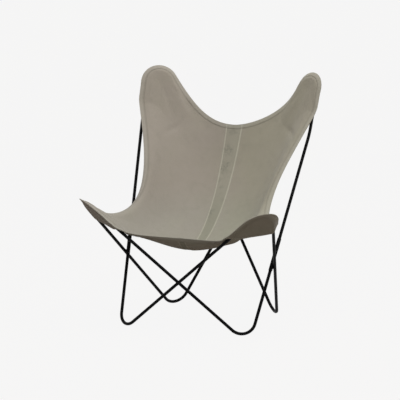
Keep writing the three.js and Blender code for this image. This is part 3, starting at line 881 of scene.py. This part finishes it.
def sheet_piece(name, points, inset, seam=None, turn=False):
    piece, row, column = hung_grid(name, points)
    mesh = piece.data
    across, down = cut_lengths(points)
    keep_cut(mesh, np.stack((across, down), axis=-1)[row, column])
    for label, distance in (("inset", inset), ("seam", seam)):
        if distance is not None:
            layer = mesh.attributes.new(label, "FLOAT", "POINT")
            layer.data.foreach_set("value", distance[row, column])
    mesh.update()
    if turn:
        bpy.ops.object.mode_set(mode="EDIT")
        bpy.ops.mesh.select_all(action="SELECT")
        bpy.ops.mesh.flip_normals()
        bpy.ops.object.mode_set(mode="OBJECT")
    apply_modifier(piece, "SOLIDIFY", thickness=CLOTH_THICKNESS, offset=0.0, use_even_offset=False)
    bpy.ops.object.shade_smooth_by_angle(angle=CLOTH_CREASE)
    return piece


# %% [markdown]
# ## Canvas
# The sling is plain-weave cotton canvas in a greyed taupe. Seen from a chair's length it is
# nearly plain, with soft cloudy changes between a warmer and a greener grey, paler hem edges that
# are partly wear where the hems rub and partly a painted highlight on the hem's fold, a painted
# shadow in the groove that the stitches pull along the hem, a painted highlight along the strip's
# raised edges, and small marks. Close up there are threads, with painted shade where they are
# low. A photo of cloth could be laid over it, but it would carry its own light and repeat. So each
# of these is a layer of nodes of its own, and the weave reads the UV map, because it follows the
# cut of the cloth.

# %% Weave and tint
THREADS_APART, THREAD_SHARE = 0.0016, 0.5
SLUB_SCALE, CLOUD_SCALE, MOTTLE_SCALE = 900, 5.5, 38
CLOUDINESS = 1.8
MOTTLED, MOTTLED_SHARE = (0.235, 0.215, 0.172, 1), 0.22
SEAT_TOP, SEAT_LEVEL = 0.52, 0.36
TINT_LEFT, TINT_RIGHT = -0.10, 0.12


def weave_of(finish):
    """Height of the threads, and how uneven the yarn is."""
    cut = finish.cloth_coordinates()
    turns = 2 * math.pi / THREADS_APART
    warp, weft = (
        finish.node("ShaderNodeMath", {"operation": "SINE"}, {0: finish.axis(cut, way) * turns})
        for way in "XY"
    )
    slub = finish.noise(cut, SLUB_SCALE, detail=2)
    return warp * weft * THREAD_SHARE + slub, slub


def tinted(finish, place, left, right, seat):
    """Cloudy colour that goes from left to right, with another tint on the seat."""
    clouds = finish.noise(place, CLOUD_SCALE, detail=4, roughness=0.5)
    side = finish.between(finish.axis(place, "X"), TINT_LEFT, TINT_RIGHT)
    drift = finish.ramp(side + CLOUDINESS * clouds - CLOUDINESS / 2, (0, 0), (1, 1))
    cloth = finish.mix(drift, left, right)
    sat_on = finish.between(finish.axis(place, "Z"), SEAT_TOP, SEAT_LEVEL)
    cloth = finish.mix(sat_on, cloth, seat, "MULTIPLY")
    mottle = finish.noise(place, MOTTLE_SCALE, detail=5, roughness=0.6)
    mottle = finish.ramp(mottle, (0.3, 0), (0.7, 1))
    return finish.mix(mottle * MOTTLED_SHARE, cloth, MOTTLED)


# %% Wear, marks, painted highlight and painted shadow
# The pale hem edge is partly wear where the hems rub and partly a painted highlight where the hem's
# fold catches light.
HEM_WEAR_AND_HIGHLIGHT, HEM_WEAR_AND_HIGHLIGHT_SHARE, HEM_WEAR_AND_HIGHLIGHT_MOST = (0.41, 0.405, 0.36, 1), 0.3, 0.004
# Painted shadow: a dark line in the groove that the stitches pull along the hem.
STITCH_GROOVE_SHADOW, STITCH_GROOVE_SHADOW_SHARE = (0.13, 0.12, 0.096, 1), 0.5
STITCH_DARK, STITCH_FADE = 0.0007, 0.003
SMUDGED = (0.13, 0.132, 0.104, 1)
SPOT_SCALE, PATCH_SCALE = 30, 130
# Painted highlight: a pale band along the strip's raised edges.
SEAM_HIGHLIGHT, SEAM_HIGHLIGHT_SHARE = (0.46, 0.445, 0.375, 1), 0.36
SEAM_WIDTH, SEAM_FADE = 0.0035, 0.0060


def hemmed(finish, cloth):
    """Hems that are pale at the edge, from wear and from a painted highlight on the hem's fold,
    with a painted shadow in the groove along their stitches.
    """
    inset = finish.attribute("inset")
    start, end = HEM_WIDTH - STITCH_FADE, HEM_WIDTH + STITCH_FADE
    wear_and_highlight_to = HEM_WIDTH - HEM_STEP_OUT
    # Painted highlight on the hem's fold, together with wear: the edge of the hem is paler.
    wear_and_highlight = finish.ramp(inset, (0.0, 1), (HEM_WEAR_AND_HIGHLIGHT_MOST, 0.7), (start, 0.5), (wear_and_highlight_to, 0))
    cloth = finish.mix(wear_and_highlight * HEM_WEAR_AND_HIGHLIGHT_SHARE, cloth, HEM_WEAR_AND_HIGHLIGHT)
    # Painted shadow in the stitches' groove, the dark line along the hem.
    dark_from, dark_to = HEM_WIDTH - STITCH_DARK, HEM_WIDTH + STITCH_DARK
    groove_shadow = finish.ramp(inset, (start, 0), (dark_from, 1), (dark_to, 1), (end, 0))
    return finish.mix(groove_shadow * STITCH_GROOVE_SHADOW_SHARE, cloth, STITCH_GROOVE_SHADOW)


def marked(finish, cloth, place, specks, smudges):
    """Specks all over, and smudges round given places."""
    spots = finish.noise(place, SPOT_SCALE, detail=4, roughness=0.65)
    spots = finish.ramp(spots, (0.53, 0), (0.70, 1))
    cloth = finish.mix(spots * specks, cloth, SMUDGED)
    patches = finish.noise(place, PATCH_SCALE, detail=4, roughness=0.7)
    patches = finish.ramp(patches, (0.44, 0), (0.64, 1))
    for spot, reach in smudges:
        gap = finish.node(
            "ShaderNodeVectorMath", {"operation": "DISTANCE"}, {0: place, 1: spot}, "Value"
        )
        cloth = finish.mix(finish.between(gap, reach, 0) * patches, cloth, SMUDGED)
    return cloth


def seam_highlighted(finish, cloth):
    """A paler band along the seams, a painted highlight where the strip's doubled edges stand proud
    and catch light.
    """
    # Painted highlight along the strip's raised edges.
    highlight_band = finish.ramp(finish.attribute("seam"), (0.0, 1), (SEAM_WIDTH, 1), (SEAM_FADE, 0))
    return finish.mix(highlight_band * SEAM_HIGHLIGHT_SHARE, cloth, SEAM_HIGHLIGHT)


# %% Canvas finishes
WEAVE_HEIGHT = 0.0004
CLOTH_ROUGHNESS, SLUB_ROUGHER = 0.86, 0.1
CLOTH_SHINE, CLOTH_SHEEN, CLOTH_SHEEN_ROUGHNESS = 0.2, 0.12, 0.55
SEAT_TINT, STRIP_SEAT_TINT = (0.98, 1.025, 1.03, 1), (0.840, 0.878, 0.845, 1)
PANEL_LEFT, PANEL_RIGHT = (0.292, 0.261, 0.222, 1), (0.287, 0.268, 0.209, 1)
STRIP_LEFT, STRIP_RIGHT = (0.284, 0.266, 0.217, 1), (0.282, 0.271, 0.214, 1)
# The pockets' canvas is the panels' canvas painted darker: painted shade for the pockets' faces,
# which turn down and away from the light.
SHADED_POCKET_LEFT, SHADED_POCKET_RIGHT = (0.252, 0.226, 0.192, 1), (0.248, 0.230, 0.181, 1)
FACING_LEFT, FACING_RIGHT = (0.27, 0.24, 0.195, 1), (0.25, 0.232, 0.186, 1)
STRIP_SMUDGES = (
    ((-0.0167, 0.2346, 0.5494), 0.024),
    ((-0.0201, 0.1072, 0.3991), 0.026),
    ((-0.0113, 0.2752, 0.6201), 0.034),
    ((-0.0020, 0.2420, 0.5700), 0.018),
)


def canvas_finish(name, left, right, seat=SEAT_TINT, specks=0.0, smudges=(), seam=False):
    finish = Finish(name)
    place = finish.coordinates()
    weave, slub = weave_of(finish)
    cloth = hemmed(finish, tinted(finish, place, left, right, seat))
    cloth = marked(finish, cloth, place, specks, smudges)
    if seam:
        cloth = seam_highlighted(finish, cloth)
    # Painted shade between the threads: the cloth is darker where the weave is low, and the uneven
    # yarn varies its tone too.
    weave_shade = finish.ramp(weave, (0.2, 0.86), (1.0, 1.0))
    finish.set(
        Base_Color=finish.mix(1.0, cloth, weave_shade, "MULTIPLY"),
        Roughness=CLOTH_ROUGHNESS + SLUB_ROUGHER * slub,
        Specular_IOR_Level=CLOTH_SHINE,
        Sheen_Weight=CLOTH_SHEEN,
        Sheen_Roughness=CLOTH_SHEEN_ROUGHNESS,
        Normal=finish.bump(weave, WEAVE_HEIGHT, strength=0.5),
    )
    print("finish:", name)
    return finish


panel_canvas = canvas_finish("canvas_panels", PANEL_LEFT, PANEL_RIGHT, specks=0.10)
strip_canvas = canvas_finish(
    "canvas_strip",
    STRIP_LEFT,
    STRIP_RIGHT,
    seat=STRIP_SEAT_TINT,
    specks=0.30,
    smudges=STRIP_SMUDGES,
    seam=True,
)
# A darker copy of the canvas for the pockets: painted shade.
shaded_pocket_canvas = canvas_finish("canvas_pockets_painted_shade", SHADED_POCKET_LEFT, SHADED_POCKET_RIGHT, specks=0.10)
facing_canvas = canvas_finish("canvas_facing", FACING_LEFT, FACING_RIGHT)

# %% [markdown]
# ## Panels and centre strip
# Two panels and a tapered strip between them make the sling. One sheet with lines painted on it
# would look flat at the seams. So they are three sheets, and the strip lies over the panels'
# inner edges, stands a little proud and tapers from the top to the front. Rows and columns lie
# closer together near the hems, where the relief is finest.

# %% Panels
STRIP_TOP_WIDTH, STRIP_FRONT_WIDTH = 0.065, 0.027
PANEL_COLUMNS, PANEL_ROWS = 130, 240
HEM_DENSITY, HEM_ZONE = 1.6, (0.03, 0.06)
DENSITY_SAMPLES = 2000
SIDE_NAMES = {-1: "left", 1: "right"}


def stations(length, count, at_start=True):
    """Shares of a length, closer together near a hem at its end or at both ends."""
    share = np.linspace(0, 1, DENSITY_SAMPLES)
    near = np.minimum(share, 1 - share) if at_start else 1 - share
    density = 1 + HEM_DENSITY * (1 - smooth(near * length, *HEM_ZONE))
    total = np.cumsum(density) - density[0]
    return np.interp(np.linspace(0, 1, count + 1), total / total[-1], share)


def strip_edge(half, v):
    """Where the strip ends on a half, as a share of the way to the side."""
    width = STRIP_TOP_WIDTH * (1 - v) + STRIP_FRONT_WIDTH * v
    return width / 2 / (half.top_edge.length * (1 - v) + half.front_edge.length * v)


ROW_PLACES = stations(MIDDLE_LINE.length, PANEL_ROWS)
panels = {}
for hand, half in HALVES.items():
    share = stations(half.top_edge.length, PANEL_COLUMNS, at_start=False)[None, :]
    inner = strip_edge(half, ROW_PLACES)[:, None]
    u = inner + (1 - inner) * share
    v = np.broadcast_to(ROW_PLACES[:, None], u.shape)
    points, normals, inset = cloth_at(half, u, v)
    side = SIDE_NAMES[hand]
    panels[hand] = sheet_piece(f"panel_{side}", points, inset, turn=hand > 0)
    stand_for(panels[hand], f"sling_{side}_panel", panel_canvas)

# %% Centre strip
STRIP_OVERLAP = 0.003
STRIP_RISE = 0.0008
STRIP_FALL, STRIP_FALL_POWER = 0.75, 12
STRIP_COLUMNS = 16


def across_halves(steps, column_at):
    """Columns of cloth side by side, from the left half to the right half."""
    shares = np.linspace(-1, 1, 2 * steps + 1)
    columns = [column_at(HALVES[-1 if share < 0 else 1], abs(share)) for share in shares]
    return [np.stack(layer, axis=1) for layer in zip(*columns)]


def strip_column(half, share):
    """Cloth from the top to the front, at a share of the way to the strip's edge."""
    reach = strip_edge(half, ROW_PLACES) * (1 + STRIP_OVERLAP / (STRIP_TOP_WIDTH / 2))
    rise = STRIP_RISE * (1 - STRIP_FALL * share**STRIP_FALL_POWER)
    return cloth_at(half, share * reach, ROW_PLACES, rise)


points, normals, inset = across_halves(STRIP_COLUMNS, strip_column)
widths = np.linalg.norm(points[:, 0] - points[:, -1], axis=1)
from_edge = 1 - np.abs(np.linspace(-1, 1, 2 * STRIP_COLUMNS + 1))
strip = sheet_piece("centre_strip", points, inset, seam=widths[:, None] / 2 * from_edge)
stand_for(strip, "sling_centre_strip", strip_canvas)

# %% [markdown]
# ## Facings
# The open edges between the pockets are faced with a tape on the underside, sewn along the same
# line that shows as the hem on top. A thicker rim on the panel would do from above, but from
# below a tape has an inner edge of its own. So each tape is a narrow sheet that follows the cloth
# a little below it.

# %% Corners, where the tapes end and the pockets start
BACK_POCKET = {"along": 0.140, "side": 0.110}
FRONT_POCKET = {"along": 0.216, "side": 0.162}


def corner(half, at_front):
    """The horn at a corner, the edge that runs to it from the middle, and its pocket's reach."""
    if at_front:
        return half.front, half.front_edge, FRONT_POCKET
    return half.back, half.top_edge, BACK_POCKET


# %% Facings
LAYER_GAP = 0.00015
LAYER_DROP = CLOTH_THICKNESS + LAYER_GAP
TAPE_STEPS, ACROSS_TAPE = 90, 6
TAPE_SET_BACK = 0.0005
SIDE_PROBE = 0.02


def cross_tape(name, at_front):
    """The tape under the top or the front edge."""
    depth = np.linspace(TAPE_SET_BACK, HEM_WIDTH, ACROSS_TAPE + 1) / MIDDLE_LINE.length
    v = 1 - depth if at_front else depth

    def tape_column(half, share):
        horn, edge, reach = corner(half, at_front)
        u = np.full(len(v), share * (1 - reach["along"] / edge.length))
        return cloth_at(half, u, v, -LAYER_DROP)

    points, normals, inset = across_halves(TAPE_STEPS, tape_column)
    return sheet_piece(f"edge_tape_{name}", points, inset, turn=at_front)


def side_tape(name, hand):
    """The tape under the left or the right edge."""
    half = HALVES[hand]
    start = BACK_POCKET["side"] / half.side_edge.length
    stop = 1 - FRONT_POCKET["side"] / half.side_edge.length
    v = np.linspace(start, stop, 2 * TAPE_STEPS + 1)[:, None]
    probe = np.linalg.norm(half.hung(1 - SIDE_PROBE, v) - half.hung(1.0, v), axis=-1)
    inward = np.linspace(TAPE_SET_BACK, HEM_WIDTH, ACROSS_TAPE + 1)[None, ::-1]
    u = 1 - inward / (probe / SIDE_PROBE)
    points, normals, inset = cloth_at(half, u, np.broadcast_to(v, u.shape), -LAYER_DROP)
    return sheet_piece(f"edge_tape_{name}", points, inset, turn=hand > 0)


tapes = {
    "top": cross_tape("top", at_front=False),
    "front": cross_tape("front", at_front=True),
    "left": side_tape("left", -1),
    "right": side_tape("right", 1),
}
for name, tape in tapes.items():
    stand_for(tape, f"facing_{name}", facing_canvas)

# %% [markdown]
# ## Pockets
# A second layer of canvas behind each corner makes the pocket that slips over the horn. It is
# sewn flat to the sling along the edge, wraps round the rod just inside the seam, spans the gap
# between the rods, and ends in a hemmed mouth. A closed bag could be modelled and the rod pushed
# into it, but the sling is already its upper side. So it is one more sheet, which starts from the
# sling's edge and goes as deep as the rod needs.

# %% Shape of a pocket
SEWN_TO_FREE = (0.004, 0.03)
ROD_CLEAR = 0.0012
POCKET_SLACK, SLACK_SIZE, SLACK_START = 0.0012, 0.06, (0.02, 0.05)


def pocket_at(half, at_front, share, across):
    """Points on a pocket's cloth, and their distance from the sling's edge.

    share goes from the tip to the mouth, and across from the edge between the halves to the side.
    """
    horn, edge, reach = corner(half, at_front)
    along_edge = share * reach["along"] / edge.length
    along_side = share * reach["side"] / half.side_edge.length
    u, v = 1 - (1 - across) * along_edge, across * along_side
    beside, normals, inset = cloth_at(half, u, 1 - v if at_front else v)
    on_edge = edge.at(1 - along_edge)
    on_side = half.side_edge.at(1 - along_side if at_front else along_side)
    spanned = on_edge * (1 - across[..., None]) + on_side * across[..., None]
    free = smooth(inset, *SEWN_TO_FREE)[..., None]
    points = beside * (1 - free) + spanned * free
    under_rod = horn.height(points) + ROD_RADIUS + CLOTH_THICKNESS / 2 + ROD_CLEAR
    wrap = np.clip(inset / (EDGE_BEYOND_ROD - ROD_RADIUS / 2), 0, 1)
    slack = POCKET_SLACK * swell(points, SLACK_SIZE) * smooth(inset, *SLACK_START)
    depth = LAYER_DROP + np.maximum(0, under_rod - LAYER_DROP) * wrap + slack
    return points - horn.up * depth[..., None], inset


# %% Pockets
POCKET_ROWS, POCKET_COLUMNS = 60, 110
POCKET_TIP = 0.004
MOUTH_HEM = 0.0115


def pocket(hand, at_front):
    half = HALVES[hand]
    horn, edge, reach = corner(half, at_front)
    share = np.linspace(POCKET_TIP, 1, POCKET_ROWS + 1)[:, None]
    across = stations(reach["along"] + reach["side"], POCKET_COLUMNS)[None, :]
    points, inset = pocket_at(half, at_front, share, across)
    mouth = np.broadcast_to((1 - share) * reach["side"], inset.shape)
    inset = np.minimum(inset, mouth + HEM_WIDTH - MOUTH_HEM)
    name = f"pocket_{'front' if at_front else 'back'}_{SIDE_NAMES[hand]}"
    piece = sheet_piece(f"horn_{name}", points, inset)
    stand_for(piece, name, shaded_pocket_canvas)
    return piece


CORNERS = [(hand, at_front) for hand in HALVES for at_front in (False, True)]
pockets = {place: pocket(*place) for place in CORNERS}

# %% [markdown]
# ## Stitches
# Thread is what makes a seam read as sewn. One stitch is a short, fat thread whose ends sink into
# the cloth. Stitches can be drawn by the canvas finish, but drawn ones catch no light. So one is
# modelled and copied along each sewn line: round the hem on both faces, along the pockets'
# mouths, and along both edges of the strip in a paler thread.

# %% One stitch
STITCH_LENGTH, STITCH_STEP, STITCH_RADIUS = 0.0048, 0.0064, 0.0005
STITCH_SIDES = 6
STITCH_END_INSET, STITCH_TAPER, STITCH_SINK = 0.5, 0.86, 0.9
AT_END, ON_RIM = 0.99, 0.8


def one_stitch():
    bpy.ops.object.select_all(action="DESELECT")
    bpy.ops.mesh.primitive_cylinder_add(
        vertices=STITCH_SIDES,
        radius=STITCH_RADIUS,
        depth=STITCH_LENGTH,
        rotation=(0, math.pi / 2, 0),
    )
    bpy.ops.object.transform_apply(location=True, rotation=True, scale=True)
    stitch = bpy.context.object
    select_faces(stitch, lambda face: abs(face.normal.x) > NEARLY_ALONG)
    bpy.ops.mesh.inset(thickness=STITCH_RADIUS * STITCH_END_INSET)
    bpy.ops.object.mode_set(mode="OBJECT")
    for vertex in stitch.data.vertices:
        reach = abs(vertex.co.x) / (STITCH_LENGTH / 2)
        off_axis = math.hypot(vertex.co.y, vertex.co.z)
        if reach > AT_END and off_axis > STITCH_RADIUS * ON_RIM:
            vertex.co.x *= STITCH_TAPER
        vertex.co.z -= STITCH_RADIUS * STITCH_SINK * reach**2
    bpy.ops.object.mode_set(mode="EDIT")
    bpy.ops.mesh.select_all(action="SELECT")
    bpy.ops.mesh.quads_convert_to_tris()
    bpy.ops.object.mode_set(mode="OBJECT")
    corners = np.array([vertex.co for vertex in stitch.data.vertices])
    faces = np.array([face.vertices for face in stitch.data.polygons])
    bpy.data.objects.remove(stitch)
    return corners, faces


STITCH_CORNERS, STITCH_FACES = one_stitch()
print("one stitch:", len(STITCH_FACES), "faces")

# %% [markdown]
# ## Thread
# The hems are sewn in a taupe thread that nearly vanishes in the canvas, and the strip in cream.
# One flat colour would do from a chair's length, but close up it would look like plastic. So a
# fine noise stands for the twist of the yarn, and shades, roughens and dents the thread at once.

# %% Thread finishes
TWIST_SCALE, TWIST_HEIGHT = 2600, 0.0002
THREAD_ROUGHNESS, TWIST_ROUGHER = 0.62, 0.2
TAUPE, TAUPE_SHADOW = (0.27, 0.25, 0.205, 1), (0.15, 0.14, 0.112, 1)
CREAM, CREAM_SHADOW = (0.62, 0.58, 0.47, 1), (0.40, 0.37, 0.29, 1)


def thread_finish(name, colour, shadow):
    finish = Finish(name)
    twist = finish.noise(finish.coordinates(), TWIST_SCALE, detail=2)
    finish.set(
        Base_Color=finish.mix(twist, shadow, colour),
        Roughness=THREAD_ROUGHNESS + TWIST_ROUGHER * twist,
        Normal=finish.bump(twist, TWIST_HEIGHT, strength=0.6),
    )
    print("finish:", name)
    return finish


hem_thread = thread_finish("thread_taupe", TAUPE, TAUPE_SHADOW)
pale_thread = thread_finish("thread_cream", CREAM, CREAM_SHADOW)


# %% Rows of stitches
def even_stations(line, normals, step):
    """Points, directions and normals at even steps along a line."""
    lengths = np.linalg.norm(np.diff(line, axis=0), axis=1)
    along = np.concatenate(([0.0], np.cumsum(lengths)))
    places = np.arange(step, along[-1] - step, step)

    def read(values):
        return np.stack([np.interp(places, along, values[:, axis]) for axis in range(3)], axis=1)

    points, ups = read(line), read(normals)
    ways = unit(np.gradient(points, axis=0))
    ups = unit(ups - (ups * ways).sum(axis=1, keepdims=True) * ways)
    return points, ways, ups


def stitch_row(name, rows, finish):
    """Stitches along rows of points, normals and a height, which is below 0 on the underside."""
    corners, faces = [], []
    for line, normals, height in rows:
        points, ways, ups = even_stations(line, normals, STITCH_STEP)
        face = math.copysign(1, height)
        for point, way, up in zip(points, ways, ups):
            faces.append(STITCH_FACES + len(corners) * len(STITCH_CORNERS))
            turn = np.stack((way, np.cross(up, way), up * face))
            corners.append(STITCH_CORNERS @ turn + point + up * height)
    mesh = bpy.data.meshes.new(name)
    mesh.from_pydata(np.vstack(corners).tolist(), [], np.vstack(faces).tolist())
    thread = bpy.data.objects.new(name, mesh)
    bpy.context.collection.objects.link(thread)
    only(thread)
    bpy.ops.object.mode_set(mode="EDIT")
    bpy.ops.mesh.select_all(action="SELECT")
    bpy.ops.mesh.normals_make_consistent(inside=False)
    bpy.ops.object.mode_set(mode="OBJECT")
    bpy.ops.object.shade_smooth()
    coat(thread, finish)
    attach(thread, "root")
    print(name, len(corners), "stitches")
    return thread


# %% Where a sewn line crosses a grid
EVENED_OVER = 9


def crossings(values, level, fields):
    """The fields where the values on a grid cross a level, along its columns and its rows."""
    found = []
    for axis in (0, 1):
        before, after = np.arange(values.shape[axis] - 1), np.arange(1, values.shape[axis])
        low, high = values.take(before, axis), values.take(after, axis)
        crossed = (low - level) * (high - level) < 0
        share = (level - low[crossed]) / (high[crossed] - low[crossed])
        parts = []
        for field in fields:
            start, end = field.take(before, axis)[crossed], field.take(after, axis)[crossed]
            parts.append((start.T * (1 - share) + end.T * share).T)
        found.append(parts)
    return [np.concatenate(parts) for parts in zip(*found)]


def evened(values):
    """Each value as the mean of its neighbours along the line."""
    padded = np.pad(values, EVENED_OVER // 2, mode="edge")
    return np.convolve(padded, np.ones(EVENED_OVER) / EVENED_OVER, mode="valid")


# %% The line of a hem
TRACE_ROWS, TRACE_COLUMNS = 321, 221
LEAST_RUN = 2e-4


def faced(half, nearest):
    """Whether a tape lies under the hem, at places of the outline."""
    edge, share = nearest // EDGE_POINTS, EVEN_SHARES[nearest % EDGE_POINTS]
    top = share < 1 - BACK_POCKET["along"] / half.top_edge.length
    side = share > BACK_POCKET["side"] / half.side_edge.length
    side &= share < 1 - FRONT_POCKET["side"] / half.side_edge.length
    front = share > FRONT_POCKET["along"] / half.front_edge.length
    return np.choose(edge, (top, side, front))


def hem_line(hand):
    """The line one hem's width inside the edge, in order, and where a tape is under it."""
    half = HALVES[hand]
    v, u = np.meshgrid(
        np.linspace(0, 1, TRACE_ROWS), np.linspace(0, 1, TRACE_COLUMNS), indexing="ij"
    )
    points = half.hung(u, v)
    places, u, v = crossings(edge_distance(hand, points), HEM_WIDTH, (points, u, v))
    outline = OUTLINES[hand]
    gaps = (np.linalg.norm(outline - place, axis=1) for place in places)
    nearest = np.array([np.argmin(gap) for gap in gaps])
    order = np.lexsort((v, u, nearest))
    line, normals, inset = cloth_at(half, evened(u[order]), evened(v[order]))
    steps = np.linalg.norm(np.diff(line, axis=0), axis=1)
    keep = np.concatenate(([True], steps > LEAST_RUN))
    return line[keep], normals[keep], faced(half, nearest[order][keep])


# %% The lines of the pockets' mouths and the strip
STITCH_PROUD = 0.35
FACE_HEIGHT = CLOTH_THICKNESS / 2 + STITCH_RADIUS * STITCH_PROUD
MOUTH_ENDS, MOUTH_POINTS = (0.06, 0.94), 160
MOUTH_PROBE_ACROSS, MOUTH_PROBE_IN = 0.01, 0.02
STRIP_ENDS, STRIP_POINTS = (0.004, 0.996), 400
STRIP_STITCH_INSET = 0.0012


def mouth_line(half, at_front):
    """The hem of a pocket's mouth, on the pocket's outer face."""
    horn, edge, reach = corner(half, at_front)
    across = np.linspace(*MOUTH_ENDS, MOUTH_POINTS)
    share = np.full(MOUTH_POINTS, 1 - MOUTH_HEM / reach["side"])
    line = pocket_at(half, at_front, share, across)[0]
    run = pocket_at(half, at_front, share, across + MOUTH_PROBE_ACROSS)[0] - line
    inward = pocket_at(half, at_front, share - MOUTH_PROBE_IN, across)[0] - line
    normals = np.cross(run, inward)
    normals *= -np.sign(normals @ horn.up)[:, None]
    return line, unit(normals), FACE_HEIGHT


def strip_line(half, height):
    """A row just inside the strip's edge on one half."""
    v = np.linspace(*STRIP_ENDS, STRIP_POINTS)
    reach = strip_edge(half, v) - STRIP_STITCH_INSET / half.top_edge.length
    line, normals, inset = cloth_at(half, reach, v, STRIP_RISE)
    return line, normals, height


# %% Stitches along the hems, the mouths and the strip
for hand, half in HALVES.items():
    line, normals, taped = hem_line(hand)
    rows = [(line, normals, FACE_HEIGHT)]
    for stretch in np.split(np.arange(len(line)), np.flatnonzero(np.diff(taped)) + 1):
        drop = LAYER_DROP if taped[stretch[0]] else 0
        rows.append((line[stretch], normals[stretch], -FACE_HEIGHT - drop))
    rows += [mouth_line(half, at_front) for at_front in (False, True)]
    stitch_row(f"hem_stitches_{SIDE_NAMES[hand]}", rows, hem_thread)

heights = (FACE_HEIGHT, -FACE_HEIGHT - STRIP_RISE)
rows = [strip_line(half, height) for height in heights for half in HALVES.values()]
strip_thread = stitch_row("strip_stitches", rows, pale_thread)

# %% [markdown]
# ## The sheets
# The real cut isn't known and could be guessed from such chairs. The cloth is stretched, so a
# pattern maker would cut it a little smaller than the hung sheets.


for (hand, at_front), piece in pockets.items():
    "front_loop_rod" if (hand > 0) == at_front else "rear_loop_rod"
print("sheets declared:", len(panels) + 1 + len(pockets))

# %% [markdown]
# ## Floor and light
# The chair stands in a plain studio: even light from all round, and one large soft lamp overhead,
# a little to the right. A white floor in strong light would give the pale background too, but
# it would wash out the cloth. So the floor and the surroundings show one pale grey to the camera,
# with no horizon, while the chair gets a plain level of light and the floor keeps a faint shadow.

# %% Floor
PALE = (0.962, 0.962, 0.962, 1)
FLOOR_GREY = (0.205, 0.160, 0.128, 1)
FLOOR_SIZE = 60
SHADOW_SHARE = 0.06

bpy.ops.object.select_all(action="DESELECT")
bpy.ops.mesh.primitive_plane_add(size=FLOOR_SIZE)
floor = bpy.context.object
floor.name = "studio_floor"
floor_finish = Finish("pale_floor")
floor_finish.set(Base_Color=FLOOR_GREY, Roughness=1.0)
plain = Wire(floor_finish, floor_finish.shader.outputs[0])
glow = floor_finish.node("ShaderNodeEmission", {}, {"Color": PALE})
glowing = floor_finish.shown() * (1 - SHADOW_SHARE)
surface = floor_finish.node("ShaderNodeMixShader", {}, {0: glowing, 1: plain, 2: glow})
floor_finish.feed(floor_finish.tree.nodes["Material Output"].inputs["Surface"], surface)
coat(floor, floor_finish)
print("stage:", floor.name)

# %% Surroundings
DAYLIGHT = (1.0, 0.99, 0.975)
ROOM_STRENGTH = 0.71

world = bpy.data.worlds.new("studio")
bpy.context.scene.world = world
world.use_nodes = True
studio = Network(world.node_tree)
room = studio.tree.nodes["Background"]
studio.feed(room.inputs["Color"], (*DAYLIGHT, 1))
studio.feed(room.inputs["Strength"], ROOM_STRENGTH)
backdrop = studio.node("ShaderNodeBackground", {}, {"Color": PALE, "Strength": 1.0})
around = studio.node(
    "ShaderNodeMixShader", {}, {0: studio.shown(), 1: Wire(studio, room.outputs[0]), 2: backdrop}
)
studio.feed(studio.tree.nodes["World Output"].inputs["Surface"], around)
bpy.context.scene.view_settings.view_transform = "Standard"
print("surroundings:", world.name)

# %% Lamp
LAMP_PLACE, LAMP_TARGET = Vector((0.9, -0.3, 3.1)), Vector((0, 0, 0.5))
LAMP_SIZE, LAMP_WATTS = 3.2, 82

bpy.ops.object.light_add(type="AREA", location=LAMP_PLACE)
lamp = bpy.context.object
lamp.name = "sky_lamp"
lamp.data.shape = "SQUARE"
lamp.data.size = LAMP_SIZE
lamp.data.energy = LAMP_WATTS
lamp.data.color = DAYLIGHT
lamp.rotation_euler = (LAMP_TARGET - LAMP_PLACE).to_track_quat("-Z", "Y").to_euler()
print("lamp:", lamp.name, LAMP_WATTS, "W")
